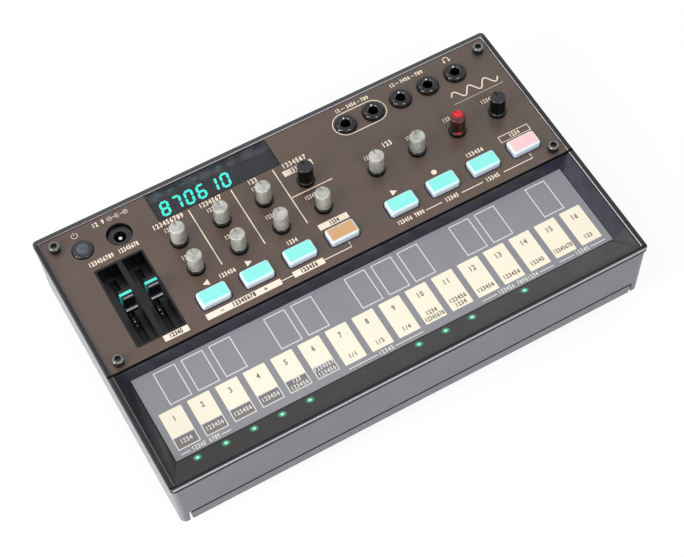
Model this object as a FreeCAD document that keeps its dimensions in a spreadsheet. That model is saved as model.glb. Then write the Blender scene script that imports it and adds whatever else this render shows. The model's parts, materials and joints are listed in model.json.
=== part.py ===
import FreeCAD, Part
import math
import os
import Sketcher

from FreeCAD import Vector

# Compact tabletop FM synthesizer.
# X runs left to right, Y from the player to the back, Z up. The origin is on the table under the middle.
# Every driving dimension is a cell of the sheet, in millimetres.

SIZES = [
    # case
    ("case_width", 193.4, "outside width of the top cover"),
    ("case_depth", 115.4, "outside depth of the top cover"),
    ("case_corner", 1.8, "plan radius of the top cover's corners"),
    ("rim_height", 36.0, "table to the top of the rim"),
    ("knob_rise", 9.0, "rim to the top of a knob"),
    ("band_height", 2.0, "height of the top cover's edge band"),
    ("rim_rounding", 0.45, "rounding of the rim's outer top edge"),
    ("rim_side", 2.2, "width of the rim at the sides"),
    ("rim_back", 2.2, "width of the rim at the back"),
    ("rim_front", 1.6, "width of the rim at the front"),
    ("rim_step", 0.5, "rim above the panel"),
    ("rim_inner_rounding", 0.3, "rounding of the rim's inner top edge"),
    # front panel
    ("panel_thickness", 1.2, "thickness of the front panel"),
    ("panel_corner", 1.0, "plan radius of the panel's corners"),
    ("panel_depth", 62.1, "depth of the front panel"),
    ("seat_gap", 0.1, "gap around a plate in its seat"),
    ("ledge_thickness", 1.2, "thickness of the ledge under the panel"),
    ("ledge_side", 5.0, "width of the ledge at the sides"),
    ("ledge_corner", 1.7, "extra width of the ledge beside the back screws"),
    ("ledge_corner_depth", 9.5, "depth of the wide part of the side ledge"),
    ("ledge_front", 5.05, "width of the ledge at the front"),
    ("ledge_back", 1.3, "width of the ledge at the back"),
    ("cover_play", 0.2, "gap between the cover's plug and the base shell"),
    # keyboard recess
    ("bar_thickness", 0.7, "bar between the panel and the recess"),
    ("recess_depth", 4.7, "rim to the printed keyboard"),
    ("recess_side_top", 2.5, "case edge to the top of the side slope"),
    ("recess_side_floor", 7.1, "case edge to the foot of the side slope"),
    ("recess_front_top", 1.8, "case edge to the top of the front slope"),
    ("recess_front_floor", 11.55, "case edge to the foot of the front slope"),
    ("recess_back_run", 2.15, "run of the back slope"),
    ("tray_wall", 1.2, "wall of the keyboard tray"),
    ("sheet_thickness", 0.2, "thickness of the printed keyboard sheet"),
    ("sheet_margin", 0.25, "recess floor left bare around the sheet"),
    # base shell
    ("base_inset", 0.3, "base shell inside the top cover's edge"),
    ("base_draft", 1.0, "how far each side leans in by its foot"),
    ("base_corner", 2.2, "plan radius of the base shell's corners"),
    ("base_wall", 1.8, "wall of the base shell"),
    ("leg_drop", 27.75, "rim to the foot of the base shell"),
    ("split_rise", 5.4, "foot of the base shell to the seam over the bottom cover"),
    ("split_gap", 0.9, "width of that seam"),
    ("leg_inset", 4.5, "case edge to the inner side of a corner leg"),
    ("leg_gap", 1.0, "gap between a leg and the bottom cover"),
    # bottom cover
    ("plate_thickness", 2.0, "thickness of the bottom cover's flange"),
    ("lip_thickness", 3.0, "thickness of its upturned lips"),
    ("lip_tongue_rise", 1.6, "overlap of a lip's inner tongue with the wall above the seam"),
    ("tub_wall", 2.0, "wall of the tub"),
    ("tub_height", 2.5, "table to the underside of the tub"),
    ("tub_side", 12.7, "case edge to the tub, at the flange"),
    ("tub_front", 4.7, "case edge to the tub's front, at the flange"),
    ("tub_back", 7.7, "case edge to the tub's back, at the flange"),
    ("tub_lean", 3.5, "how far the tub's walls lean in"),
    # fasteners
    ("screw_side", 6.4, "case side to the axis of a panel screw"),
    ("screw_back", 4.9, "panel's back edge to the axis of a back screw"),
    ("screw_front", 3.3, "panel's front edge to the axis of a front screw"),
    ("screw_radius", 1.25, "radius of a screw's thread"),
    ("screw_head_radius", 2.15, "radius of a panel screw's head"),
    ("screw_head_height", 3.0, "height of a panel screw's head"),
    ("screw_head_edge", 0.3, "bevel of a panel screw's head"),
    ("screw_socket", 1.15, "half the width across flats of the hexagon socket"),
    ("screw_socket_depth", 1.2, "depth of the hexagon socket"),
    ("screw_length", 12.0, "length of a panel screw under its head"),
    ("screw_hole_radius", 1.45, "radius of a screw's passing hole"),
    ("pilot_play", 0.05, "gap around a screw in its boss"),
    ("pilot_extra", 0.3, "depth of a pilot hole beyond the screw's tip"),
    ("boss_half_width", 2.4, "half the width of a screw boss"),
    ("boss_drop", 16.0, "rim to the foot of a panel screw's boss"),
    ("case_screw_side", 9.2, "case side to the axis of a case screw"),
    ("case_screw_end", 21.7, "case front or back to the axis of a case screw"),
    ("case_screw_length", 8.0, "length of a case screw under its head"),
    ("case_screw_head", 1.6, "height of a case screw's head"),
    ("case_boss_height", 8.0, "height of a case screw's boss"),
    ("foot_radius", 5.0, "radius of a rubber foot"),
    ("foot_sink", 0.5, "depth of a foot's seat"),
    ("foot_edge", 0.6, "bevel of a foot"),
    ("foot_side", 12.0, "tub's side to the middle of a foot"),
    ("foot_front", 12.0, "tub's front to the middle of a front foot"),
    ("foot_back", 12.5, "tub's back to the middle of a back foot"),
    # battery bay
    ("cell_radius", 7.25, "radius of a battery cell"),
    ("cell_length", 49.2, "length of a cell without its nub"),
    ("nub_radius", 2.75, "radius of a cell's nub"),
    ("nub_length", 1.3, "length of a cell's nub"),
    ("cell_gap", 0.5, "gap between two rows of cells"),
    ("cell_play", 0.3, "gap at the ends of a cell"),
    ("cell_lift", 0.7, "gap between a cell and the door"),
    ("contact_thickness", 0.5, "thickness of a battery contact"),
    ("contact_size", 9.0, "height and width of a battery contact"),
    ("bay_wall", 1.2, "wall of the battery bay"),
    ("bay_play", 0.2, "gap around the rows of cells"),
    ("bay_setback", 0.45, "foot of the tub's front wall to the battery bay"),
    ("door_gap", 0.3, "gap around the battery door"),
    ("door_thickness", 1.8, "thickness of the battery door"),
    ("door_setback", 0.2, "foot of the tub to the door's front edge"),
    ("door_grip", 1.2, "width of a grip groove in the door"),
    ("door_grip_length", 12.0, "length of a grip groove"),
    # boards
    ("board_thickness", 1.6, "thickness of a circuit board"),
    ("control_board_drop", 12.8, "panel top to the top of the control board"),
    ("control_board_side", 8.4, "panel's side to the control board's side"),
    ("control_board_front", 5.9, "panel's front edge to the control board's"),
    ("control_board_back", 2.0, "panel's back edge to the control board's"),
    ("main_board_lift", 4.5, "tub floor to the main board"),
    ("main_board_left", 24.0, "tub's left side to the main board"),
    ("main_board_right", 4.0, "main board's right edge to the speaker"),
    ("main_board_front", 6.95, "battery bay to the main board"),
    ("main_board_back", 8.0, "tub's back to the main board"),
    ("touch_board_side", 1.6, "side of the recess floor to the touch board's side"),
    ("touch_board_front", 5.35, "touch board in front of the recess floor"),
    ("touch_board_back", 0.45, "touch board behind the recess floor"),
    ("post_radius", 2.2, "radius of a board post"),
    ("tall_post_left", 10.0, "main board's left edge to the left tall posts"),
    ("tall_post_right", 14.0, "middle of the speaker to the right tall posts"),
    ("tall_post_front", 4.55, "battery bay to the front tall posts"),
    ("tall_post_back", 2.0, "main board's back edge to the back tall posts"),
    ("short_post_inset", 5.0, "main board edge to a short post"),
    ("cable_width", 20.0, "width of the ribbon cable"),
    ("cable_thickness", 0.5, "thickness of the ribbon cable"),
    ("cable_run", 2.0, "straight run of the cable out of a socket"),
    ("socket_height", 2.2, "height of a board socket"),
    ("socket_depth", 6.0, "depth of a board socket"),
    ("chip_height", 1.2, "height of a chip"),
    ("chip_size", 14.0, "side of the largest chip"),
    ("chip_pitch", 22.0, "from one chip to the next"),
    ("chip_first", 33.0, "main board's left edge to the first chip's middle"),
    ("socket_margin", 1.0, "socket beyond each edge of the cable"),
    ("lamp_front", 3.05, "front of the recess floor to the row of step lamps"),
    ("lamp_edge", 7.1, "side of the recess floor to the first step lamp"),
    ("lamp_length", 1.6, "length of a lamp chip"),
    ("lamp_depth", 0.8, "depth of a lamp chip"),
    ("lamp_height", 0.6, "height of a lamp chip"),
    # knobs
    ("column_left", 45.3, "panel's left side to the first column of knobs and buttons"),
    ("column_right", 12.95, "last column to the panel's right side"),
    ("column_gap", 25.1, "last left column to the first right one"),
    ("knob_back", 24.3, "panel's back edge to the back row of knobs"),
    ("knob_front", 37.9, "panel's back edge to the front row of knobs"),
    ("knob_right", 33.5, "panel's back edge to the right row of knobs"),
    ("shaft_radius", 2.4, "radius of a potentiometer's shaft"),
    ("knob_lift", 2.1, "panel top to the foot of a knob or cap"),
    ("knob_radius", 2.9, "radius of a clear knob at its foot"),
    ("knob_taper", 0.05, "how much smaller that radius is at its top"),
    ("knob_edge", 0.45, "rounding of the top edge of a knob or cap"),
    ("knob_foot_edge", 0.2, "rounding of a clear knob's foot"),
    ("knob_foot_gap", 0.3, "gap under the foot of a knob's shaft"),
    ("knob_mark_width", 0.7, "width of the pointer groove"),
    ("knob_mark_depth", 0.5, "depth of the pointer groove"),
    ("knob_mark_start", 0.9, "axis to the inner end of the pointer groove"),
    ("cap_foot_radius", 3.05, "radius of a dark cap at its foot"),
    ("cap_top_radius", 2.95, "radius of a dark cap at its top"),
    ("cap_roof", 2.0, "thickness of a cap over its shaft"),
    ("cap_shaft_radius", 1.95, "radius of the shaft's neck inside a cap"),
    ("cap_shaft_play", 0.05, "gap between shaft and cap"),
    ("cap_shaft_gap", 0.3, "shoulder of that shaft to the cap's foot"),
    ("knob_play", 0.05, "running gap between a shaft and its bushing"),
    ("bushing_wall", 0.95, "wall of a potentiometer's bushing"),
    ("bushing_drop", 0.3, "panel top to the bushing's shoulder"),
    ("nose_step", 0.35, "how much narrower the bushing's nose is"),
    ("nose_rise", 1.6, "panel top to the top of that nose"),
    ("nose_edge", 0.35, "bevel of the nose's top edge"),
    ("bushing_gap", 0.15, "gap around a bushing in the panel"),
    ("pot_size", 9.6, "side of a potentiometer's body"),
    ("pot_height", 6.8, "height of a potentiometer's body"),
    ("pot_floor", 1.2, "floor under a potentiometer's bore"),
    # buttons
    ("button_row", 51.9, "panel's back edge to the row of buttons"),
    ("button_hole_width", 12.2, "width of a button's hole"),
    ("button_hole_depth", 7.05, "depth of a button's hole"),
    ("button_hole_corner", 1.4, "corner radius of a button's hole"),
    ("button_gap", 0.25, "gap around a button"),
    ("button_rise", 2.85, "panel top to the top of a button"),
    ("button_edge", 0.9, "rounding of a button's top edge"),
    ("button_flange", 0.8, "width and thickness of a button's flange"),
    ("button_seat_gap", 0.3, "gap between a flange and the panel"),
    ("button_travel", 0.8, "travel of a button"),
    ("button_stem_radius", 1.5, "radius of a button's stem"),
    ("switch_size", 6.0, "side of a tact switch"),
    ("switch_height", 3.5, "height of a tact switch"),
    ("plunger_radius", 1.7, "radius of a switch's plunger"),
    ("plunger_height", 1.2, "height of a switch's plunger"),
    ("plunger_gap", 0.1, "gap left under a pressed button"),
    ("power_side", 12.9, "panel's left side to the power button"),
    ("power_back", 10.0, "panel's back edge to the power button"),
    ("power_radius", 4.0, "radius of the power button"),
    ("power_gap", 0.2, "gap around the power button"),
    ("power_rise", 0.9, "panel top to the top of the power button"),
    ("power_edge", 0.7, "rounding of the power button's top edge"),
    # sliders
    ("slider_offset", 0.5, "channel's middle to the slider's middle"),
    ("slider_middle", 18.4, "slider bezel's front edge to a slider at mid travel"),
    ("slider_travel", 10.0, "travel of a slider either way"),
    ("bezel_side", 12.4, "panel's left side to the slider bezel"),
    ("bezel_back", 20.4, "panel's back edge to the slider bezel"),
    ("bezel_length", 36.5, "length of the slider bezel"),
    ("bezel_wall", 0.7, "wall of the slider bezel"),
    ("bezel_rib", 2.0, "width of the rib between the two channels"),
    ("channel_width", 8.05, "width of a channel in the bezel"),
    ("bezel_corner", 0.9, "plan radius of the bezel's corners"),
    ("bezel_flange", 1.2, "width of the bezel's flange"),
    ("bezel_depth", 8.3, "depth of the bezel"),
    ("slide_pot_gap", 0.2, "gap between the bezel and a slide potentiometer"),
    ("slide_pot_width", 8.4, "width of a slide potentiometer"),
    ("slide_pot_end", 1.5, "end wall of a slide potentiometer's slot"),
    ("slot_width", 3.0, "width of its slot"),
    ("slot_end", 5.95, "slot beyond the blade at the end of its travel"),
    ("slot_depth", 3.6, "depth of its slot"),
    ("cap_width", 4.4, "width of a slider cap"),
    ("cap_length", 4.4, "length of a slider cap at its top"),
    ("cap_lean", 0.8, "how far its front and back lean out by its foot"),
    ("cap_rise", 7.0, "panel top to the top of a slider cap"),
    ("cap_foot_rise", 1.2, "panel top to the top of the cap's foot"),
    ("cap_foot_length", 7.4, "length of the cap's foot"),
    ("cap_foot_width", 4.75, "width of the cap's foot"),
    ("cap_foot_height", 2.0, "height of the cap's foot"),
    ("cap_edge", 0.35, "bevel of the cap's top edges"),
    ("blade_thickness", 1.1, "thickness of the clear blade in a cap"),
    ("blade_proud", 0.35, "how far the blade stands out of the cap's left side"),
    ("blade_play", 0.02, "gap between blade and cap"),
    ("blade_skirt", 3.5, "panel top to where the blade is as narrow as its tongue"),
    ("blade_tongue_width", 2.4, "width of the blade inside the slot"),
    ("blade_lift", 1.0, "gap between the blade and the slot's floor"),
    # display
    ("window_side", 42.9, "panel's left side to the display window"),
    ("window_width", 50.0, "width of the display window"),
    ("window_edge", 0.5, "panel's back edge to the display window"),
    ("window_depth", 12.3, "depth of the display window"),
    ("window_corner", 0.8, "plan radius of its corners"),
    ("window_sink", 0.1, "window below the panel's top"),
    ("module_inset", 0.9, "display module inside the window's edges"),
    ("module_drop", 4.5, "panel top to the face of the display module"),
    # sockets
    ("jack_side", 17.5, "last small jack to the panel's right side"),
    ("jack_pitch", 12.05, "from one small jack to the next"),
    ("jack_back", 9.8, "panel's back edge to the small jacks"),
    ("jack_gap", 0.15, "gap around a jack's collar in the panel"),
    ("jack_collar_radius", 4.3, "radius of a jack's collar"),
    ("jack_collar_rise", 2.1, "panel top to the top of the collar"),
    ("jack_collar_edge", 1.6, "rounding of the collar"),
    ("jack_mouth_radius", 2.5, "radius of the jack's countersunk mouth"),
    ("jack_mouth_depth", 0.8, "depth of the countersunk mouth"),
    ("jack_bore_radius", 1.8, "radius of the jack's bore"),
    ("jack_bore_length", 13.0, "length of the jack's bore under its mouth"),
    ("jack_body_size", 9.8, "side of a jack's body"),
    ("jack_body_drop", 2.0, "panel top to the top of a jack's body"),
    ("inlet_side", 27.5, "panel's left side to the power inlet"),
    ("inlet_back", 10.5, "panel's back edge to the power inlet"),
    ("inlet_gap", 0.4, "panel's hole beyond the inlet's face"),
    ("inlet_radius", 4.6, "radius of the inlet's face"),
    ("inlet_drop", 1.8, "panel top to the inlet's face"),
    ("inlet_bore_radius", 2.4, "radius of the inlet's bore"),
    ("inlet_bore_length", 9.0, "depth of the inlet's bore"),
    ("inlet_body_size", 10.4, "side of the inlet's body"),
    ("inlet_body_drop", 4.0, "panel top to the top of the inlet's body"),
    ("inlet_pin_radius", 0.85, "radius of the inlet's pin"),
    ("inlet_pin_drop", 1.0, "inlet's face to the top of the pin"),
    # speaker
    ("speaker_side", 24.0, "tub's right side to the middle of the speaker"),
    ("speaker_radius", 16.0, "radius of the speaker's frame"),
    ("speaker_height", 4.6, "height of the speaker's frame"),
    ("magnet_radius", 8.0, "radius of the magnet"),
    ("magnet_height", 4.0, "height of the magnet"),
    ("cone_radius", 14.5, "radius of the cone's mouth"),
    ("cone_throat", 5.0, "radius of the cone's throat"),
    ("cone_depth", 3.2, "depth of the cone"),
    ("cone_thickness", 0.4, "thickness of the cone"),
    ("cone_gap", 0.3, "gap between the cone and its frame"),
    ("grille_slot", 1.6, "width of a grille slot"),
    ("grille_pitch", 3.6, "from one grille slot to the next"),
    ("grille_length", 18.0, "length of a grille slot"),
]

LEFT_COLUMNS = 4
RIGHT_COLUMNS = 4
FIRST_CAPPED_LEFT = 3
FIRST_CAPPED_RIGHT = 2
JACKS = 5
GRILLE_SLOTS = 5
LAMPS = 16
GRIP_GROOVES = 3
CHIP_SCALES = (1.0, 0.7, 0.5)

# a regular hexagon's corner radius over its inner radius
CORNER_OVER_FLAT = 2 / math.sqrt(3)


class Length:
    """A number together with the formula that ties it to the sheet."""

    def __init__(self, number, formula):
        self.number = float(number)
        self.formula = formula

    def __add__(self, other):
        return joined(self, "+", other, lambda a, b: a + b)

    def __radd__(self, other):
        return joined(other, "+", self, lambda a, b: a + b)

    def __sub__(self, other):
        return joined(self, "-", other, lambda a, b: a - b)

    def __rsub__(self, other):
        return joined(other, "-", self, lambda a, b: a - b)

    def __mul__(self, other):
        return joined(self, "*", other, lambda a, b: a * b)

    def __rmul__(self, other):
        return joined(other, "*", self, lambda a, b: a * b)

    def __truediv__(self, other):
        return joined(self, "/", other, lambda a, b: a / b)

    def __neg__(self):
        return joined(-1, "*", self, lambda a, b: a * b)


def as_length(value):
    return value if isinstance(value, Length) else Length(value, repr(float(value)))


def joined(first, sign, second, work):
    first = as_length(first)
    second = as_length(second)
    return Length(work(first.number, second.number), f"({first.formula} {sign} {second.formula})")


doc = FreeCAD.newDocument("synthesizer")
sheet = doc.addObject("Spreadsheet::Sheet", "Sizes")


class Sizes:
    """The sheet's cells by name, each as a Length."""


s = Sizes()
for row, (alias, value, note) in enumerate(SIZES, start=1):
    sheet.set(f"A{row}", alias)
    sheet.set(f"B{row}", str(value))
    sheet.set(f"C{row}", note)
    sheet.setAlias(f"B{row}", alias)
    setattr(s, alias, Length(value, f"Sizes.{alias}"))
doc.recompute()

pieces = []


def bind(item, path, value):
    item.setExpression(path, as_length(value).formula)


def place(item, x=0, y=0, z=0):
    for axis, value in (("x", x), ("y", y), ("z", z)):
        setattr(item.Placement.Base, axis, as_length(value).number)
        bind(item, f".Placement.Base.{axis}", value)
    return item


def keep(item, label):
    item.Label = label
    pieces.append(item)
    return item


# Sketches and PartDesign features

def new_body(label):
    return keep(doc.addObject("PartDesign::Body", label), label)


def plane_sketch(body, name, role, offset=0):
    sketch = body.newObject("Sketcher::SketchObject", name)
    plane = [item for item in body.Origin.OriginFeatures if item.Role == role][0]
    sketch.AttachmentSupport = [(plane, "")]
    sketch.MapMode = "FlatFace"
    bind(sketch, "AttachmentOffset.Base.z", offset)
    return sketch


def level_sketch(body, name, height):
    return plane_sketch(body, name, "XY_Plane", height)


def fix_point(sketch, geometry, end, x, y):
    """Ties one sketch point to the sketch's origin by two dimensions."""
    for kind, value in (("DistanceX", x), ("DistanceY", y)):
        value = as_length(value)
        index = sketch.addConstraint(Sketcher.Constraint(kind, -1, 1, geometry, end, value.number))
        bind(sketch, f"Constraints[{index}]", value)


def circle(sketch, x, y, radius):
    x, y, radius = as_length(x), as_length(y), as_length(radius)
    ring = Part.Circle(Vector(x.number, y.number, 0), Vector(0, 0, 1), radius.number)
    geometry = sketch.addGeometry(ring, False)
    fix_point(sketch, geometry, 3, x, y)
    index = sketch.addConstraint(Sketcher.Constraint("Radius", geometry, radius.number))
    bind(sketch, f"Constraints[{index}]", radius)


def polygon(sketch, points):
    """A closed outline through the given points, each tied to the origin."""
    points = [(as_length(x), as_length(y)) for x, y in points]
    count = len(points)
    spots = [Vector(x.number, y.number, 0) for x, y in points]
    lines = [sketch.addGeometry(Part.LineSegment(spots[i], spots[(i + 1) % count]), False)
             for i in range(count)]
    for i in range(count):
        after = lines[(i + 1) % count]
        sketch.addConstraint(Sketcher.Constraint("Coincident", lines[i], 2, after, 1))
    for line, (x, y) in zip(lines, points):
        fix_point(sketch, line, 1, x, y)


def rectangle(sketch, left, right, front, back):
    polygon(sketch, [(left, front), (right, front), (right, back), (left, back)])


def rounded_rectangle(sketch, left, right, front, back, radius):
    """Four sides joined by quarter arcs whose centres are tied to the origin."""
    left, right, front, back, radius = [as_length(v) for v in (left, right, front, back, radius)]
    centres = [(right - radius, back - radius), (left + radius, back - radius),
               (left + radius, front + radius), (right - radius, front + radius)]
    quarter = math.pi / 2
    arcs = []
    for turn, (x, y) in enumerate(centres):
        ring = Part.Circle(Vector(x.number, y.number, 0), Vector(0, 0, 1), radius.number)
        arc = Part.ArcOfCircle(ring, turn * quarter, (turn + 1) * quarter)
        arcs.append(sketch.addGeometry(arc, False))
    for turn in range(4):
        here, after = arcs[turn], arcs[(turn + 1) % 4]
        start = sketch.getPoint(here, 2)
        end = sketch.getPoint(after, 1)
        line = sketch.addGeometry(Part.LineSegment(start, end), False)
        sketch.addConstraint(Sketcher.Constraint("Tangent", here, 2, line, 1))
        sketch.addConstraint(Sketcher.Constraint("Tangent", line, 2, after, 1))
        kind = "Horizontal" if turn % 2 == 0 else "Vertical"
        sketch.addConstraint(Sketcher.Constraint(kind, line))
    for arc, (x, y) in zip(arcs[::2], centres[::2]):
        fix_point(sketch, arc, 3, x, y)
    for arc in arcs[1:]:
        sketch.addConstraint(Sketcher.Constraint("Equal", arcs[0], arc))
    index = sketch.addConstraint(Sketcher.Constraint("Radius", arcs[0], radius.number))
    bind(sketch, f"Constraints[{index}]", radius)


def feature(body, kind, name, sketch, length=None, midplane=False):
    item = body.newObject(kind, name)
    item.Profile = sketch
    sketch.Visibility = False
    if length is not None:
        bind(item, "Length", length)
    if midplane:
        item.Midplane = True
    body.Tip = item
    return item


def pad(body, name, sketch, length, midplane=False):
    return feature(body, "PartDesign::Pad", name, sketch, length, midplane)


def pocket(body, name, sketch, length):
    """Cuts downwards from the sketch's level."""
    return feature(body, "PartDesign::Pocket", name, sketch, length)


def loft(body, kind, name, lower, upper):
    item = feature(body, f"PartDesign::{kind}Loft", name, lower)
    item.Sections = [upper]
    item.Ruled = True
    upper.Visibility = False
    return item


def revolve(body, name, points):
    """Turns an outline of radius and height about the body's Z axis."""
    sketch = plane_sketch(body, name + "_profile", "XZ_Plane")
    polygon(sketch, points)
    item = feature(body, "PartDesign::Revolution", name, sketch)
    item.ReferenceAxis = (sketch, ["V_Axis"])
    item.Angle = 360
    return item


def soften(body, name, kind, size, wanted):
    """Rounds or bevels the edges of the body's last shape that pass the test."""
    doc.recompute()
    base = body.Tip
    edges = [f"Edge{i}" for i, edge in enumerate(base.Shape.Edges, start=1) if wanted(edge)]
    item = body.newObject(f"PartDesign::{kind}", name)
    item.Base = (base, edges)
    bind(item, "Radius" if kind == "Fillet" else "Size", size)
    body.Tip = item
    return item


def at_height(edge, height):
    box = edge.BoundBox
    return abs(box.ZMin - height.number) < 1e-4 and abs(box.ZMax - height.number) < 1e-4


# Part primitives

def block(name, left, right, front, back, low, high):
    item = doc.addObject("Part::Box", name)
    bind(item, "Length", as_length(right) - left)
    bind(item, "Width", as_length(back) - front)
    bind(item, "Height", as_length(high) - low)
    return place(item, left, front, low)


def centred_block(name, x, y, width, depth, low, high):
    x, y = as_length(x), as_length(y)
    width, depth = as_length(width), as_length(depth)
    return block(name, x - width / 2, x + width / 2, y - depth / 2, y + depth / 2, low, high)


def rod(name, x, y, low, high, radius):
    item = doc.addObject("Part::Cylinder", name)
    bind(item, "Radius", radius)
    bind(item, "Height", as_length(high) - low)
    return place(item, x, y, low)


def taper(name, x, y, low, high, low_radius, high_radius):
    item = doc.addObject("Part::Cone", name)
    bind(item, "Radius1", low_radius)
    bind(item, "Radius2", high_radius)
    bind(item, "Height", as_length(high) - low)
    return place(item, x, y, low)


def fused(name, items):
    item = doc.addObject("Part::MultiFuse", name)
    item.Shapes = items
    return item


def cut(name, base, tool):
    item = doc.addObject("Part::Cut", name)
    item.Base = base
    item.Tool = tool
    return item


def group(label, items):
    """Separate identical solids under one name."""
    item = doc.addObject("Part::Compound", label)
    item.Links = items
    return keep(item, label)


# Levels and outlines that several pieces share

half_width = s.case_width / 2
half_depth = s.case_depth / 2
rim_top = s.rim_height
panel_top = rim_top - s.rim_step
panel_under = panel_top - s.panel_thickness
ledge_under = panel_under - s.ledge_thickness
knob_top = rim_top + s.knob_rise
band_under = rim_top - s.band_height
leg_foot = rim_top - s.leg_drop
wall_foot = leg_foot + s.split_rise + s.split_gap / 2
lip_top = leg_foot + s.split_rise - s.split_gap / 2
sheet_top = rim_top - s.recess_depth
tray_floor = sheet_top - s.sheet_thickness
tray_under = tray_floor - s.tray_wall

opening_half = half_width - s.rim_side
opening_front = -half_depth + s.rim_front
opening_back = half_depth - s.rim_back
panel_half = opening_half - s.seat_gap
panel_back = opening_back - s.seat_gap
panel_front = panel_back - s.panel_depth
screw_x = half_width - s.screw_side

recess_back_top = panel_front - s.seat_gap - s.bar_thickness
recess_back_floor = recess_back_top - s.recess_back_run
recess_front_top = -half_depth + s.recess_front_top
recess_front_floor = -half_depth + s.recess_front_floor
recess_half_top = half_width - s.recess_side_top
recess_half_floor = half_width - s.recess_side_floor

base_half = half_width - s.base_inset
base_front = half_depth - s.base_inset
plug_half = base_half - s.base_wall - s.cover_play
plug_depth = base_front - s.base_wall - s.cover_play

plate_top = leg_foot + s.plate_thickness
tub_floor = s.tub_height + s.tub_wall
plate_half = half_width - s.leg_inset - s.leg_gap
tub_half = half_width - s.tub_side
tub_front = -half_depth + s.tub_front
tub_back = half_depth - s.tub_back

board_top = panel_top - s.control_board_drop
board_under = board_top - s.board_thickness
main_under = tub_floor + s.main_board_lift
main_top = main_under + s.board_thickness
control_half = panel_half - s.control_board_side
control_front = panel_front + s.control_board_front
control_back = panel_back - s.control_board_back

door_top = s.tub_height + s.door_thickness
cell_axis = door_top + s.cell_lift + s.cell_radius
bay_half = s.cell_length + s.nub_length + 2 * s.cell_play + s.contact_thickness
cell_pitch = 2 * s.cell_radius + s.cell_gap
bay_front = tub_front + s.tub_lean + s.tub_wall + s.bay_setback
cell_middle = bay_front + s.bay_play + s.cell_radius + cell_pitch
bay_back = cell_middle + cell_pitch + s.cell_radius + s.bay_play
bay_roof = cell_axis + s.cell_radius + s.bay_play
bay_wall_back = bay_back + s.bay_wall

speaker_x = tub_half - s.speaker_side
speaker_y = (bay_wall_back + tub_back - s.tub_wall - s.tub_lean) / 2
main_left = -tub_half + s.main_board_left
main_right = speaker_x - s.speaker_radius - s.main_board_right
main_front = bay_wall_back + s.main_board_front
main_back = tub_back - s.main_board_back
cable_y = (main_front + main_back) / 2

knob_foot = panel_top + s.knob_lift
bushing_bore = s.shaft_radius + s.knob_play
bushing_radius = bushing_bore + s.bushing_wall
power_x = -panel_half + s.power_side
power_y = panel_back - s.power_back
power_hole_radius = s.power_radius + s.power_gap
button_y = panel_back - s.button_row
jack_y = panel_back - s.jack_back
inlet_x = -panel_half + s.inlet_side
inlet_y = panel_back - s.inlet_back
window_left = -panel_half + s.window_side
window_right = window_left + s.window_width
window_back = panel_back - s.window_edge
window_front = window_back - s.window_depth
bezel_left = -panel_half + s.bezel_side
bezel_right = bezel_left + 2 * s.bezel_wall + 2 * s.channel_width + s.bezel_rib
bezel_back = panel_back - s.bezel_back
bezel_front = bezel_back - s.bezel_length
slider_y = bezel_front + s.slider_middle


def column_pitch():
    """The left and right columns share what the panel's margins and the gap between them leave."""
    room = 2 * panel_half - s.column_left - s.column_gap - s.column_right
    return room / (LEFT_COLUMNS + RIGHT_COLUMNS - 2)


def left_x(column):
    return -panel_half + s.column_left + column * column_pitch()


def right_x(column):
    return panel_half - s.column_right - (RIGHT_COLUMNS - 1 - column) * column_pitch()


def knob_places():
    """Name, X and Y of each knob, and whether it wears a black cap."""
    spots = []
    for column in range(LEFT_COLUMNS):
        capped = column >= FIRST_CAPPED_LEFT
        spots.append((f"knob_left_back_{column + 1}", left_x(column), panel_back - s.knob_back, capped))
        spots.append((f"knob_left_front_{column + 1}", left_x(column), panel_back - s.knob_front,
                      False))
    for column in range(RIGHT_COLUMNS):
        capped = column >= FIRST_CAPPED_RIGHT
        spots.append((f"knob_right_{column + 1}", right_x(column), panel_back - s.knob_right, capped))
    return spots


def button_places():
    spots = [(f"button_left_{column + 1}", left_x(column)) for column in range(LEFT_COLUMNS)]
    return spots + [(f"button_right_{column + 1}", right_x(column)) for column in range(RIGHT_COLUMNS)]


def jack_x(index):
    return panel_half - s.jack_side - (JACKS - 1 - index) * s.jack_pitch


def panel_screw_places():
    rows = (panel_front + s.screw_front, panel_back - s.screw_back)
    return [(side * screw_x, y) for side in (-1, 1) for y in rows]


def case_screw_places():
    x = half_width - s.case_screw_side
    y = half_depth - s.case_screw_end
    return [(side * x, end * y) for side in (-1, 1) for end in (-1, 1)]


def foot_places():
    x = tub_half - s.foot_side
    return [(side * x, y) for side in (-1, 1) for y in (tub_front + s.foot_front, tub_back - s.foot_back)]


# Casings

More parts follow.
